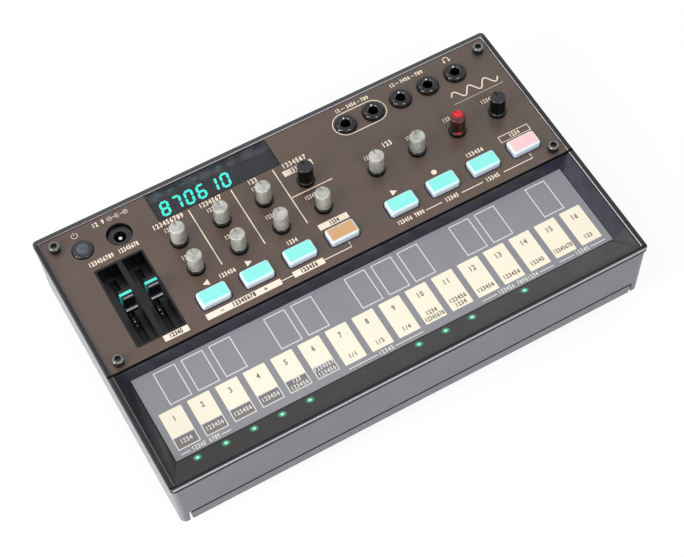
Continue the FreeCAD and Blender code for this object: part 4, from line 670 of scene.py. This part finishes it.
# the built-in font's nought at size 1
GLYPH_WIDTH = 0.52
GLYPH_HEIGHT = 0.72
# the share of its cell that a character fills
CELL_SHARE = 0.82
# how much bolder than the font a character is
FINE_WEIGHT = 0.022
PALE_WEIGHT = 0.03
KEY_WEIGHT = 0.035
PLAIN_WEIGHT = 0.038
BOLD_WEIGHT = 0.05
glyph_meshes = {}


def glyph_mesh(character, weight):
    """A character of the built-in font as a slab one thick, made bolder by its weight."""
    if (character, weight) not in glyph_meshes:
        curve = bpy.data.curves.new("glyph", "FONT")
        curve.body = character
        curve.align_x = "CENTER"
        curve.align_y = "CENTER"
        curve.size = 1.0
        curve.extrude = 0.5
        curve.offset = weight
        curve.resolution_u = 2
        made = bpy.data.objects.new("glyph", curve)
        glyph_meshes[character, weight] = bpy.data.meshes.new_from_object(made)
        bpy.data.objects.remove(made)
    return glyph_meshes[character, weight]


class Print:
    """Thin printed marks on one level."""

    def __init__(self, level):
        self.level = level
        self.form = bmesh.new()

    def fill(self, outline):
        slab(self.form, outline, self.level, self.level + PRINT)

    def box(self, left, right, front, back):
        self.fill(box_outline(left, right, front, back))

    def frame(self, left, right, front, back, width, radius=0.0):
        outer = (left, right, front, back)
        inner = (left + width, right - width, front + width, back - width)
        if radius:
            outlines = (soft_outline(*outer, radius), soft_outline(*inner, radius - width))
        else:
            outlines = (box_outline(*outer), box_outline(*inner))
        band(self.form, *outlines, self.level, self.level + PRINT)

    def ring(self, x, y, radius, width, start=0.0, turn=360.0):
        steps = 36
        outer = round_outline(x, y, radius, steps, start, turn)
        inner = round_outline(x, y, radius - width, steps, start, turn)
        if turn < 360:
            self.fill(outer + inner[::-1])
        else:
            band(self.form, outer, inner, self.level, self.level + PRINT)

    def path(self, points, width):
        """A line of even width through its points."""
        points = [Vector(point) for point in points]
        left, right = [], []
        for i, point in enumerate(points):
            ahead = points[min(i + 1, len(points) - 1)] - points[max(i - 1, 0)]
            side = ahead.normalized().orthogonal() * width / 2
            left.append(tuple(point + side))
            right.append(tuple(point - side))
        for i in range(len(points) - 1):
            self.fill([left[i], right[i], right[i + 1], left[i + 1]])

    def rows(self, rows, weight):
        """Rows of characters, listed by their middle and height."""
        for (y, height), texts in rows.items():
            for text, left, right in texts:
                self.row(text, left, right, y, height, weight)

    def row(self, text, left, right, y, height, weight):
        """Characters in even cells from left to right; a blank leaves its cell empty."""
        cell = (right - left) / len(text)
        for i, character in enumerate(text):
            if character != " ":
                self.glyph(character, left + cell * (i + 0.5), y, cell * CELL_SHARE, height, weight)

    def glyph(self, character, x, y, width, height, weight):
        """One character centred on a point, as wide as a nought of that width."""
        mesh = glyph_mesh(character, weight).copy()
        across = width / GLYPH_WIDTH
        size = Matrix.Diagonal((across, height / GLYPH_HEIGHT, PRINT, 1))
        mesh.transform(Matrix.Translation((x, y, self.level + PRINT / 2)) @ size)
        self.form.from_mesh(mesh)
        bpy.data.meshes.remove(mesh)

    def finish(self, name, paint, slot):
        add_piece(name, self.form, paint, weld=0.0005)


# Printed panel

# plain numbers on the panel, by the Y of their middle and their height: text, left end, right end
PANEL_ROWS = {
    (52.9, 1.9): (("12 9", -74.4, -69.3),),
    (52.9, 1.6): (("12", 28.1, 30.2), ("3456", 33.0, 37.2), ("789", 39.3, 42.7),
                  ("12", 52.0, 54.2), ("3456", 56.7, 61.1), ("789", 63.3, 66.8)),
    (40.8, 2.1): (("123", -15.9, -11.9), ("1234567", -1.4, 8.8)),
    (40.7, 2.1): (("123456789", -55.5, -42.7), ("1234567", -36.3, -27.0)),
    (38.0, 1.95): (("123456789", -82.6, -72.4), ("12345678", -70.6, -62.4)),
    (37.4, 1.8): (("123456", -52.3, -46.0), ("123456", -34.8, -28.4), ("1234", -16.1, -11.8)),
    (30.2, 2.2): (("123", 35.7, 40.0),),
    (28.5, 1.8): (("123456", 78.1, 84.8),),
    (28.4, 1.8): (("12345", 61.1, 66.7),),
    (28.3, 1.8): (("1234", 26.8, 30.7), ("123", 45.0, 47.7)),
    (23.9, 1.8): (("123456789", -0.8, 8.0),),
    (23.7, 1.8): (("1234567", -17.5, -10.4),),
    (23.6, 1.8): (("12345", -52.0, -46.3), ("12345", -34.4, -28.6)),
    (10.1, 1.8): (("123456", 60.3, 68.0),),
    (10.0, 1.8): (("123456", -43.8, -36.9), ("1234", -16.0, -11.4)),
    (10.0, 1.7): (("1234", 79.3, 83.9),),
    (-2.9, 1.75): (("123456 7890", 23.3, 34.7), ("12345", 43.6, 49.4), ("12345", 61.2, 67.1)),
}
# the same on the pale bars
BAR_ROWS = {
    (37.6, 1.8): (("12345", 0.6, 6.7),),
    (10.0, 1.75): (("1234", 1.8, 5.9),),
    (-2.85, 1.75): (("12345678", -45.0, -35.4), ("123456", -17.2, -10.1)),
    (-3.0, 1.75): (("12345", -70.2, -64.8),),
}
# pale bars, and short dashes between the numbers: left, right, front, back
BARS = (
    (-72.3, -62.5, -4.3, -1.7),
    (-2.45, 9.7, 36.3, 38.9),
    (-2.45, 9.7, 8.75, 11.4),
    (-55.25, -25.05, -4.15, -1.55),
    (-20.05, -7.45, -4.15, -1.55),
    (30.7, 32.4, 52.8, 53.05),
    (37.7, 38.8, 52.8, 53.05),
    (54.6, 56.2, 52.8, 53.05),
    (61.6, 62.9, 52.8, 53.05),
)
LINE = 0.42
THIN_LINE = 0.34
SYMBOL_LINE = 0.24
# dividers between the knob groups
DIVIDERS = [((x, 41.5), (x, 14.2)) for x in (-40.25, -22.6, -4.95)]
DIVIDERS.append(((-4.95, 26.9), (12.4, 26.9)))
# lines that join the numbers and bars under the buttons
UNDER_LINES = (
    ((-25.05, -2.85), (-20.05, -2.85)),
    ((-7.45, -2.85), (4.1, -2.85), (4.1, -0.4)),
    ((35.4, -2.9), (42.3, -2.9)),
    ((50.7, -2.9), (59.9, -2.9)),
    ((68.9, -2.9), (81.7, -2.9), (81.7, -0.5)),
)
# arrows over the buttons: X of the tip and of the base
ARROWS = ((-50.25, -47.8), (-30.25, -32.7), (30.55, 28.1))
ARROW_Y = 10.1
ARROW_HALF = 1.3
# frames over the last button and round the first two jacks:
# left, right, front, back, line width, corner radius
FRAMES = ((75.2, 88.1, 8.5, 11.6, 0.28), (23.8, 46.35, 40.8, 51.35, 0.38, 5.25))
# headphones over the last jack
PHONES = (77.35, 53.2)
PHONE_LEFTS = (75.95, 78.1)
PHONE_WIDTH = 0.65
# a plain wave
WAVE_LEFT = 70.0
WAVE_LENGTH = 20.5
WAVE_Y = 36.4
WAVE_HEIGHT = 1.8
WAVE_PERIODS = 3
WAVE_STEPS = 90
# power symbol, and the polarity of the inlet: X, start and turn of its rings, and its lines
POWER_SYMBOL = (-81.6, 52.5)
POLARITY_Y = 52.9
POLARITY_RINGS = ((-67.3, 0, 360), (-64.1, 50, 260), (-60.8, 0, 360))
POLARITY_LINES = ((-66.35, -64.1), (-63.15, -61.75), (-67.8, -66.8), (-61.3, -60.3))
# the buttons' holes in the panel
BUTTON_COLUMNS = [start + 17.575 * i for start in (-49.1, 28.725) for i in range(4)]
BUTTON_Y = 3.5
HOLE_HALF_X = 6.1
HOLE_HALF_Y = 3.525
# widths of the painted shade round the buttons' holes and of the seam round the window
HOLE_EDGE = 0.3
WINDOW_EDGE = 0.42


def print_marks():
    """Pale numbers, bars, dividers, arrows and frames."""
    marks = Print(PANEL_TOP)
    marks.rows(PANEL_ROWS, PLAIN_WEIGHT)
    for bar in BARS:
        marks.box(*bar)
    for points in DIVIDERS:
        marks.path(points, LINE)
    for points in UNDER_LINES:
        marks.path(points, THIN_LINE)
    for tip, base in ARROWS:
        marks.fill([(tip, ARROW_Y), (base, ARROW_Y - ARROW_HALF), (base, ARROW_Y + ARROW_HALF)])
    marks.fill(round_outline(46.55, 10.15, 1.1, 28))
    for outline in FRAMES:
        marks.frame(*outline)
    marks.ring(*PHONES, 1.3, 0.3, -15, 210)
    for left in PHONE_LEFTS:
        marks.fill(soft_outline(left, left + PHONE_WIDTH, 51.9, 53.3, 0.25, 3))
    shares = [i / WAVE_STEPS for i in range(WAVE_STEPS + 1)]
    marks.path([(WAVE_LEFT + WAVE_LENGTH * share,
                 WAVE_Y + WAVE_HEIGHT * math.sin(2 * math.pi * WAVE_PERIODS * share))
                for share in shares], 0.5)
    marks.finish("panel_print", INKS["cream"], "bronze_panel")


def print_symbols():
    """The power symbol, the inlet's polarity and the thin line under the wave."""
    fine = Print(PANEL_TOP)
    x, y = POWER_SYMBOL
    fine.ring(x, y, 1.3, 0.27, 125, 290)
    fine.path([(x, y + 0.2), (x, y + 1.6)], 0.27)
    for x, start, turn in POLARITY_RINGS:
        fine.ring(x, POLARITY_Y, 0.95, SYMBOL_LINE, start, turn)
    for left, right in POLARITY_LINES:
        fine.path([(left, POLARITY_Y), (right, POLARITY_Y)], SYMBOL_LINE)
    fine.path([(-60.8, POLARITY_Y - 0.5), (-60.8, POLARITY_Y + 0.5)], SYMBOL_LINE)
    fine.fill(round_outline(-64.1, POLARITY_Y, 0.38, 16))
    fine.path([(69.2, 32.9), (91.0, 32.9)], 0.2)
    fine.finish("panel_print_fine", INKS["dim"], "bronze_panel")


def print_seam_and_gap_shade():
    """A dark seam round the window, and painted shade in the gaps round the buttons' holes."""
    edges = Print(PANEL_TOP)
    (left, front, _), (right, back, _) = box_of("display_window")
    edges.frame(left - WINDOW_EDGE, right + WINDOW_EDGE, front - WINDOW_EDGE,
                min(back + WINDOW_EDGE, 55.35), 0.36, 0.6)
    half_x, half_y = HOLE_HALF_X + HOLE_EDGE, HOLE_HALF_Y + HOLE_EDGE
    for x in BUTTON_COLUMNS:
        edges.frame(x - half_x, x + half_x, BUTTON_Y - half_y, BUTTON_Y + half_y, HOLE_EDGE, 1.7)
    edges.finish("panel_seam_and_gap_shade", INKS["black"], "bronze_panel")


def print_on_bars():
    """Dark numbers, a minus and a plus on the pale bars."""
    over = Print(PANEL_TOP + PRINT)
    over.rows(BAR_ROWS, BOLD_WEIGHT)
    for points in (((-49.7, -2.85), (-48.3, -2.85)), ((-32.1, -2.85), (-30.7, -2.85)),
                   ((-31.4, -2.15), (-31.4, -3.55))):
        over.path(points, 0.3)
    over.finish("panel_print_dark", INKS["dark"], "bronze_panel")


# Printed keyboard

KEYS = 16
KEY_PITCH = 11.0
FIRST_KEY = -82.6
KEY_HALF = 4.3
KEY_FRONT = -42.75
KEY_BACK = -26.9
SHORT_KEY_FRONT = -37.5
KEY_LINE = 0.38
# keys with a slanted line between two numbers, counted from 0
FRACTION_KEYS = (6, 7, 8)
# the frames behind the keys: X of their middles, then their front and back
UPPER_KEYS = (-77.2, -66.2, -55.2, -33.1, -22.1, 0.05, 11.1, 22.1, 44.1, 55.1, 77.2)
UPPER_KEY_ENDS = (-25.5, -11.3)
# between a short key and the field in front of it
FIELD_GAP = 0.02
# plain numbers near the front of the keys; a slash parts two lines
SHORT_KEY_ROWS = ("1234", "123456", "123456", "123456", "123/123456", "1234567/123456")
LONG_KEY_ROWS = ("1 1", "1 2", "1 4", "1234/12345678", "123456/1234", "123456", "123456", "12345",
                 "12345678", "123")
NUMBER_HEIGHT = 1.75
# the lines in front of the keys, and the numbers that part them
KEY_LINES_Y = -44.5
KEY_LINES = ((-86.9, -83.2), (-71.2, -67.4), (-20.6, -8.9), (-1.8, 9.7), (34.4, 40.5), (58.6, 64.8),
             (67.3, 73.5), (80.5, 86.8))
LINE_ROWS = (("12345 6789", -82.6, -71.7), ("12345", -8.6, -2.3), ("123456 78901234", 41.1, 58.0),
             ("12345", 74.0, 79.9))
# the width of a character's cell, and of the widest row
LETTER = 1.18
WIDEST_ROW = 8.0


def key_rows(marks, text, x, weight):
    """Plain numbers near the front of a key."""
    rows = text.split("/")
    heights = (-40.1,) if len(rows) == 1 else (-38.8, -41.2)
    for row, y in zip(rows, heights):
        half = min(LETTER * len(row), WIDEST_ROW) / 2
        marks.row(row, x - half, x + half, y, NUMBER_HEIGHT, weight)


def make_keyboard_print():
    faces, fields, lines = Print(SHEET_TOP), Print(SHEET_TOP), Print(SHEET_TOP)
    pale, numbers = Print(SHEET_TOP + PRINT), Print(SHEET_TOP + PRINT)
    short_keys = len(SHORT_KEY_ROWS)
    for key in range(KEYS):
        x = FIRST_KEY + KEY_PITCH * key
        left, right = x - KEY_HALF, x + KEY_HALF
        short = key < short_keys
        front = SHORT_KEY_FRONT if short else KEY_FRONT
        faces.fill(soft_outline(left, right, front, KEY_BACK, 0.25, 3))
        half = 0.75 * len(str(key + 1))
        numbers.row(str(key + 1), x - half, x + half, -30.8, 2.3, FINE_WEIGHT)
        if short:
            back = front - FIELD_GAP
            lines.frame(left, right, KEY_FRONT, back, KEY_LINE)
            fields.box(left + KEY_LINE, right - KEY_LINE, KEY_FRONT + KEY_LINE, back - KEY_LINE)
            key_rows(pale, SHORT_KEY_ROWS[key], x, PALE_WEIGHT)
        else:
            key_rows(numbers, LONG_KEY_ROWS[key - short_keys], x, KEY_WEIGHT)
        if key in FRACTION_KEYS:
            numbers.path([(x - 0.35, -41.0), (x + 0.35, -39.2)], 0.26)
    for x in UPPER_KEYS:
        lines.frame(x - KEY_HALF, x + KEY_HALF, *UPPER_KEY_ENDS, KEY_LINE)
    for left, right in KEY_LINES:
        lines.path([(left, KEY_LINES_Y), (right, KEY_LINES_Y)], 0.32)
    for text, left, right in LINE_ROWS:
        pale.row(text, left, right, KEY_LINES_Y, NUMBER_HEIGHT, PALE_WEIGHT)
    for name, marks, ink in (("key_faces", faces, "key"), ("key_fields", fields, "field"),
                             ("key_lines", lines, "white"), ("key_words", pale, "white"),
                             ("key_numbers", numbers, "number")):
        marks.finish(name, INKS[ink], "printed_sheet")


# Lamps that glow through the front slope

LIT_LAMPS = (1, 2, 3, 4, 5, 9, 10, 11, 13)
LAMP_X = -82.5
LAMP_Y = -48.6
GLOW_RADIUS = 1.9
GLOW_FALL = 1.6
LENS_RINGS = 10
LENS_STEPS = 28


def make_lens(form, glow, centre, along, up, radius, peak):
    """A thin lens whose glow value falls from the middle out."""
    middle = form.verts.new(centre)
    middle[glow] = peak
    before = None
    for ring in range(1, LENS_RINGS + 1):
        share = ring / LENS_RINGS
        here = []
        for i in range(LENS_STEPS):
            turn = 2 * math.pi * i / LENS_STEPS
            spot = centre + Vector((1, 0, 0)) * radius * share * math.cos(turn)
            spot += along * radius * share * math.sin(turn)
            corner = form.verts.new(spot - up * PRINT * (ring == LENS_RINGS))
            corner[glow] = peak * (1 - share) ** GLOW_FALL
            here.append(corner)
        for i in range(LENS_STEPS):
            j = (i + 1) % LENS_STEPS
            if before is None:
                form.faces.new((middle, here[i], here[j]))
            else:
                form.faces.new((before[i], here[i], here[j], before[j]))
        before = here
    form.faces.new(before[::-1])


def make_lamp_glows():
    """A thin lens on the front slope over each lamp."""
    along = (SLOPE_FOOT - SLOPE_TOP).normalized()
    up = Vector((1, 0, 0)).cross(along)
    share = (SLOPE_FOOT.y - LAMP_Y) / (SLOPE_FOOT.y - SLOPE_TOP.y)
    middle = SLOPE_FOOT + (SLOPE_TOP - SLOPE_FOOT) * share + up * PRINT
    form = bmesh.new()
    glow = form.verts.layers.float.new("glow")
    for lamp in range(1, KEYS + 1):
        lit = lamp in LIT_LAMPS
        centre = middle + Vector((LAMP_X + KEY_PITCH * (lamp - 1), 0, 0))
        make_lens(form, glow, centre, along, up, GLOW_RADIUS if lit else GLOW_RADIUS / 2,
                  1.0 if lit else UNLIT_GLOW)
    add_piece("lamp_glows", form, make_lamp_glow())


# Display digits

# the segments of each digit, by their usual letters
SEGMENTS = {"0": "abcdef", "1": "bc", "6": "afgedc", "7": "abc", "8": "abcdefg"}
DISPLAY = "870610"
DIGIT_PITCH = 5.05
FIRST_DIGIT = -48.2
DIGIT_BOTTOM = 46.6
DIGIT_WIDTH = 2.75
DIGIT_HEIGHT = 5.65
STROKE = 0.98
LEAN = 0.14
TIP = 0.12


def make_display_digits():
    """Six lit digits on the module's face, under the window."""
    lit = Print(top_of("display_module"))
    half = DIGIT_HEIGHT / 2

    def bar(x, y, along, length):
        side, bevel = STROKE / 2, STROKE / 2 - 0.05
        ends = [(TIP, 0), (bevel, side), (length - bevel, side), (length - TIP, 0),
                (length - bevel, -side), (bevel, -side)]
        points = [(x + a, y + b) if along == "x" else (x + b, y + a) for a, b in ends]
        lit.fill([(px + (py - DIGIT_BOTTOM) * LEAN, py) for px, py in points])

    places = {"a": (0, DIGIT_HEIGHT, "x", DIGIT_WIDTH), "d": (0, 0, "x", DIGIT_WIDTH),
              "g": (0, half, "x", DIGIT_WIDTH), "f": (0, half, "y", half), "e": (0, 0, "y", half),
              "b": (DIGIT_WIDTH, half, "y", half), "c": (DIGIT_WIDTH, 0, "y", half)}
    for place, digit in enumerate(DISPLAY):
        for segment in SEGMENTS[digit]:
            dx, dy, along, length = places[segment]
            bar(FIRST_DIGIT + DIGIT_PITCH * place + dx, DIGIT_BOTTOM + dy, along, length)
    lit.finish("display_digits", make_digit_light(), "display_black")


# Small moulded details

CLEAR_KNOBS = [name for name in nodes if name.startswith("knob") and not name.endswith("shaft")
               and name + "_shaft" not in nodes]
RING_HEIGHTS = (38.0, 40.0, 43.3)
RING_PROUD = 0.05
RING_ROOT = 0.2
RING_HALF = 0.16
RING_CREST = 0.06
# a clear knob is a little narrower above this level
KNOB_STEP = 39.0
KNOB_STEP_IN = 0.05


def make_knob_rings():
    """Three fine raised rings round each clear knob."""
    for name in CLEAR_KNOBS:
        low, high = box_of(name)
        radius = (high[0] - low[0]) / 2
        form = bmesh.new()
        for height in RING_HEIGHTS:
            root = radius - RING_ROOT
            skin = radius - KNOB_STEP_IN * (height > KNOB_STEP)
            crest = skin + RING_PROUD
            turned(form, *middle_of(name), [
                (root, height - RING_HALF), (skin, height - RING_HALF), (crest, height - RING_CREST),
                (crest, height + RING_CREST), (skin, height + RING_HALF), (root, height + RING_HALF)])
        add_piece(name + "_rings", form, PAINTS["clear_knob"], name, smooth=True)


JACKS = [28.7 + 12.05 * i for i in range(5)]
JACK_Y = 45.6
FUNNEL = [(2.5, 37.54), (2.45, 37.51), (1.92, 37.13), (1.86, 37.07), (1.86, 36.9), (2.5, 36.9)]


def make_jack_funnels():
    """A gloss funnel inside the mouth of each jack."""
    form = bmesh.new()
    for x in JACKS:
        turned(form, x, JACK_Y, FUNNEL, 36)
    polished = make_jack("polished_black", roughness=0.06, Specular_IOR_Level=1.0)
    add_piece("jack_funnels", form, polished, smooth=True)


# a slider cap's ledge above the panel, and the strip under its tongue
CAP_LEDGE = PANEL_TOP + 1.2
CAP_MARGIN = 0.15
STRIP_FOOT = 25.5
STRIP_TOP = 25.8
# studs on the strip: how far in front of the cap's middle, and radius
STUDS = ((1.45, 0.16), (2.65, 0.34), (4.65, 0.25))
STUD_RISE = 0.15


def slider_lines(x, y, low, high):
    """Pale lines on the front of a slider cap: painted highlights along its edges."""
    form = bmesh.new()
    left, right, front = low[0] + CAP_MARGIN, high[0] - CAP_MARGIN, low[1]
    slab(form, box_outline(x - 1.8, x + 1.9, y - 1.86, y - 1.66), high[2] - 0.05, high[2] + 0.02)
    for near in (0.2, 0.48):
        slab(form, box_outline(left, right, front + near, front + near + 0.16), CAP_LEDGE - 0.02,
             CAP_LEDGE + 0.03)
    slab(form, box_outline(left, right, front - 0.04, front + 0.1), CAP_LEDGE - 0.2, CAP_LEDGE + 0.03)
    return form


def slider_strip(x, y):
    """The contact strip on a cap's tongue."""
    form = bmesh.new()
    slab(form, box_outline(x - 0.7, x + 0.7, y - 5.3, y - 0.56), STRIP_FOOT, STRIP_TOP)
    return form


def slider_studs(x, y):
    """Small studs on the strip, painted white as glints on the metal in the slot."""
    form = bmesh.new()
    for ahead, radius in STUDS:
        rises = ((0.01, 0.0), (radius, 0.0), (radius, STUD_RISE), (radius * 0.6, 0.25), (0.01, 0.28))
        turned(form, x, y - ahead, [(r, STRIP_TOP + rise) for r, rise in rises], 16)
    return form


def make_slider_details():
    for side in ("left", "right"):
        cap = "slider_cap_" + side
        body = "slider_" + side
        x, y = middle_of(cap)
        lines = slider_lines(x, y, *box_of(cap))
        add_piece("slider_lines_" + side, lines, INKS["cap_highlight"], body)
        add_piece("slider_strip_" + side, slider_strip(x, y), PAINTS["black_satin"], body)
        add_piece("slider_studs_" + side, slider_studs(x, y), INKS["stud"], body, 0.02)


print_marks()
print_symbols()
print_seam_and_gap_shade()
print_on_bars()
make_keyboard_print()
make_lamp_glows()
make_display_digits()
make_knob_rings()
make_jack_funnels()
make_slider_details()


# Floor, light and camera

def empty_tree(block):
    """The node tree of a material or a world, with nothing in it."""
    block.use_nodes = True
    block.node_tree.nodes.clear()
    return block.node_tree


def is_seen(tree):
    """One where a ray comes from the camera, a reflection or a refraction."""
    path = tree.nodes.new("ShaderNodeLightPath").outputs
    most = path["Is Camera Ray"]
    for name in ("Is Glossy Ray", "Is Transmission Ray"):
        most = add_node(tree, "ShaderNodeMath", most, path[name], operation="MAXIMUM").outputs[0]
    return most


def grey_shader(tree, kind, level, strength=None):
    node = tree.nodes.new(kind)
    node.inputs["Color"].default_value = (level, level, level, 1)
    if strength:
        node.inputs["Strength"].default_value = strength
    return node.outputs[0]


def mixed(tree, share, first, second):
    """The first shader where the share is nought, and the second where it is one."""
    return add_node(tree, "ShaderNodeMixShader", share, first, second).outputs[0]


def make_floor():
    """A pale floor, white where it is seen, and clear from below to show the underside."""
    mesh = bpy.data.meshes.new("floor")
    half = 2.5
    level = -0.02 * MM
    corners = [(x, y, level) for x, y in box_outline(-half, half, -half, half)]
    mesh.from_pydata(corners, [], [(0, 1, 2, 3)])
    floor = new_object("floor", mesh)
    material = bpy.data.materials.new("floor")
    tree = empty_tree(material)
    plain = grey_shader(tree, "ShaderNodeBsdfDiffuse", 0.8)
    shade = grey_shader(tree, "ShaderNodeBsdfDiffuse", 0.16)
    glow = grey_shader(tree, "ShaderNodeEmission", 1.0, 0.86)
    white = add_node(tree, "ShaderNodeAddShader", shade, glow).outputs[0]
    above = mixed(tree, is_seen(tree), plain, white)
    back_side = tree.nodes.new("ShaderNodeNewGeometry").outputs["Backfacing"]
    clear = tree.nodes.new("ShaderNodeBsdfTransparent").outputs[0]
    add_node(tree, "ShaderNodeOutputMaterial", mixed(tree, back_side, above, clear))
    mesh.materials.append(material)


def make_world():
    """A white background, and a weaker light from all round."""
    scene.world = bpy.data.worlds.new("studio")
    tree = empty_tree(scene.world)
    fill = grey_shader(tree, "ShaderNodeBackground", 1.0, 0.5)
    seen = grey_shader(tree, "ShaderNodeBackground", 1.0, 1.0)
    add_node(tree, "ShaderNodeOutputWorld", mixed(tree, is_seen(tree), fill, seen))


def direction(azimuth, elevation):
    """Towards a place at these angles, where azimuth 0 is in front of the object."""
    turn, lift = math.radians(azimuth), math.radians(elevation)
    return Vector((math.sin(turn) * math.cos(lift), -math.cos(turn) * math.cos(lift), math.sin(lift)))


# name, azimuth, elevation, size in metres, power
SOFTBOXES = (
    ("left_softbox", -76, 42, 0.28, 2.7),
    ("right_softbox", 14, 50, 0.28, 3.0),
    ("back_softbox", -139, 52, 0.28, 1.2),
    ("side_softbox", -88, 5, 0.3, 12.0),
)


def make_softbox(name, azimuth, elevation, size, power):
    """A square area light, one metre from the middle."""
    light = bpy.data.lights.new(name, "AREA")
    light.shape = "SQUARE"
    light.size = size
    light.energy = power
    box = new_object(name, light)
    box.location = direction(azimuth, elevation)
    box.rotation_euler = box.location.to_track_quat("Z", "Y").to_euler()


CAMERA_PLACE = Vector((-0.155769, -0.316084, 0.595486))
CAMERA_AZIMUTH = -26.914
CAMERA_ELEVATION = 58.851
CAMERA_ROLL = -2.909
CAMERA_LENS = 95.653
CAMERA_SHIFT = (-0.013687, -0.00124)


def make_camera():
    data = bpy.data.cameras.new("camera")
    data.sensor_width = 36.0
    data.lens = CAMERA_LENS
    data.shift_x, data.shift_y = CAMERA_SHIFT
    camera = new_object("camera", data)
    back = direction(CAMERA_AZIMUTH, CAMERA_ELEVATION)
    level = Vector((0, 0, 1)).cross(back).normalized()
    rise = back.cross(level)
    roll = math.radians(CAMERA_ROLL)
    right = math.cos(roll) * level + math.sin(roll) * rise
    up = -math.sin(roll) * level + math.cos(roll) * rise
    turned_to = Matrix((right, up, back)).transposed().to_4x4()
    camera.matrix_world = Matrix.Translation(CAMERA_PLACE) @ turned_to
    scene.camera = camera


make_floor()
make_world()
for softbox in SOFTBOXES:
    make_softbox(*softbox)
make_camera()
scene.view_settings.view_transform = "Standard"
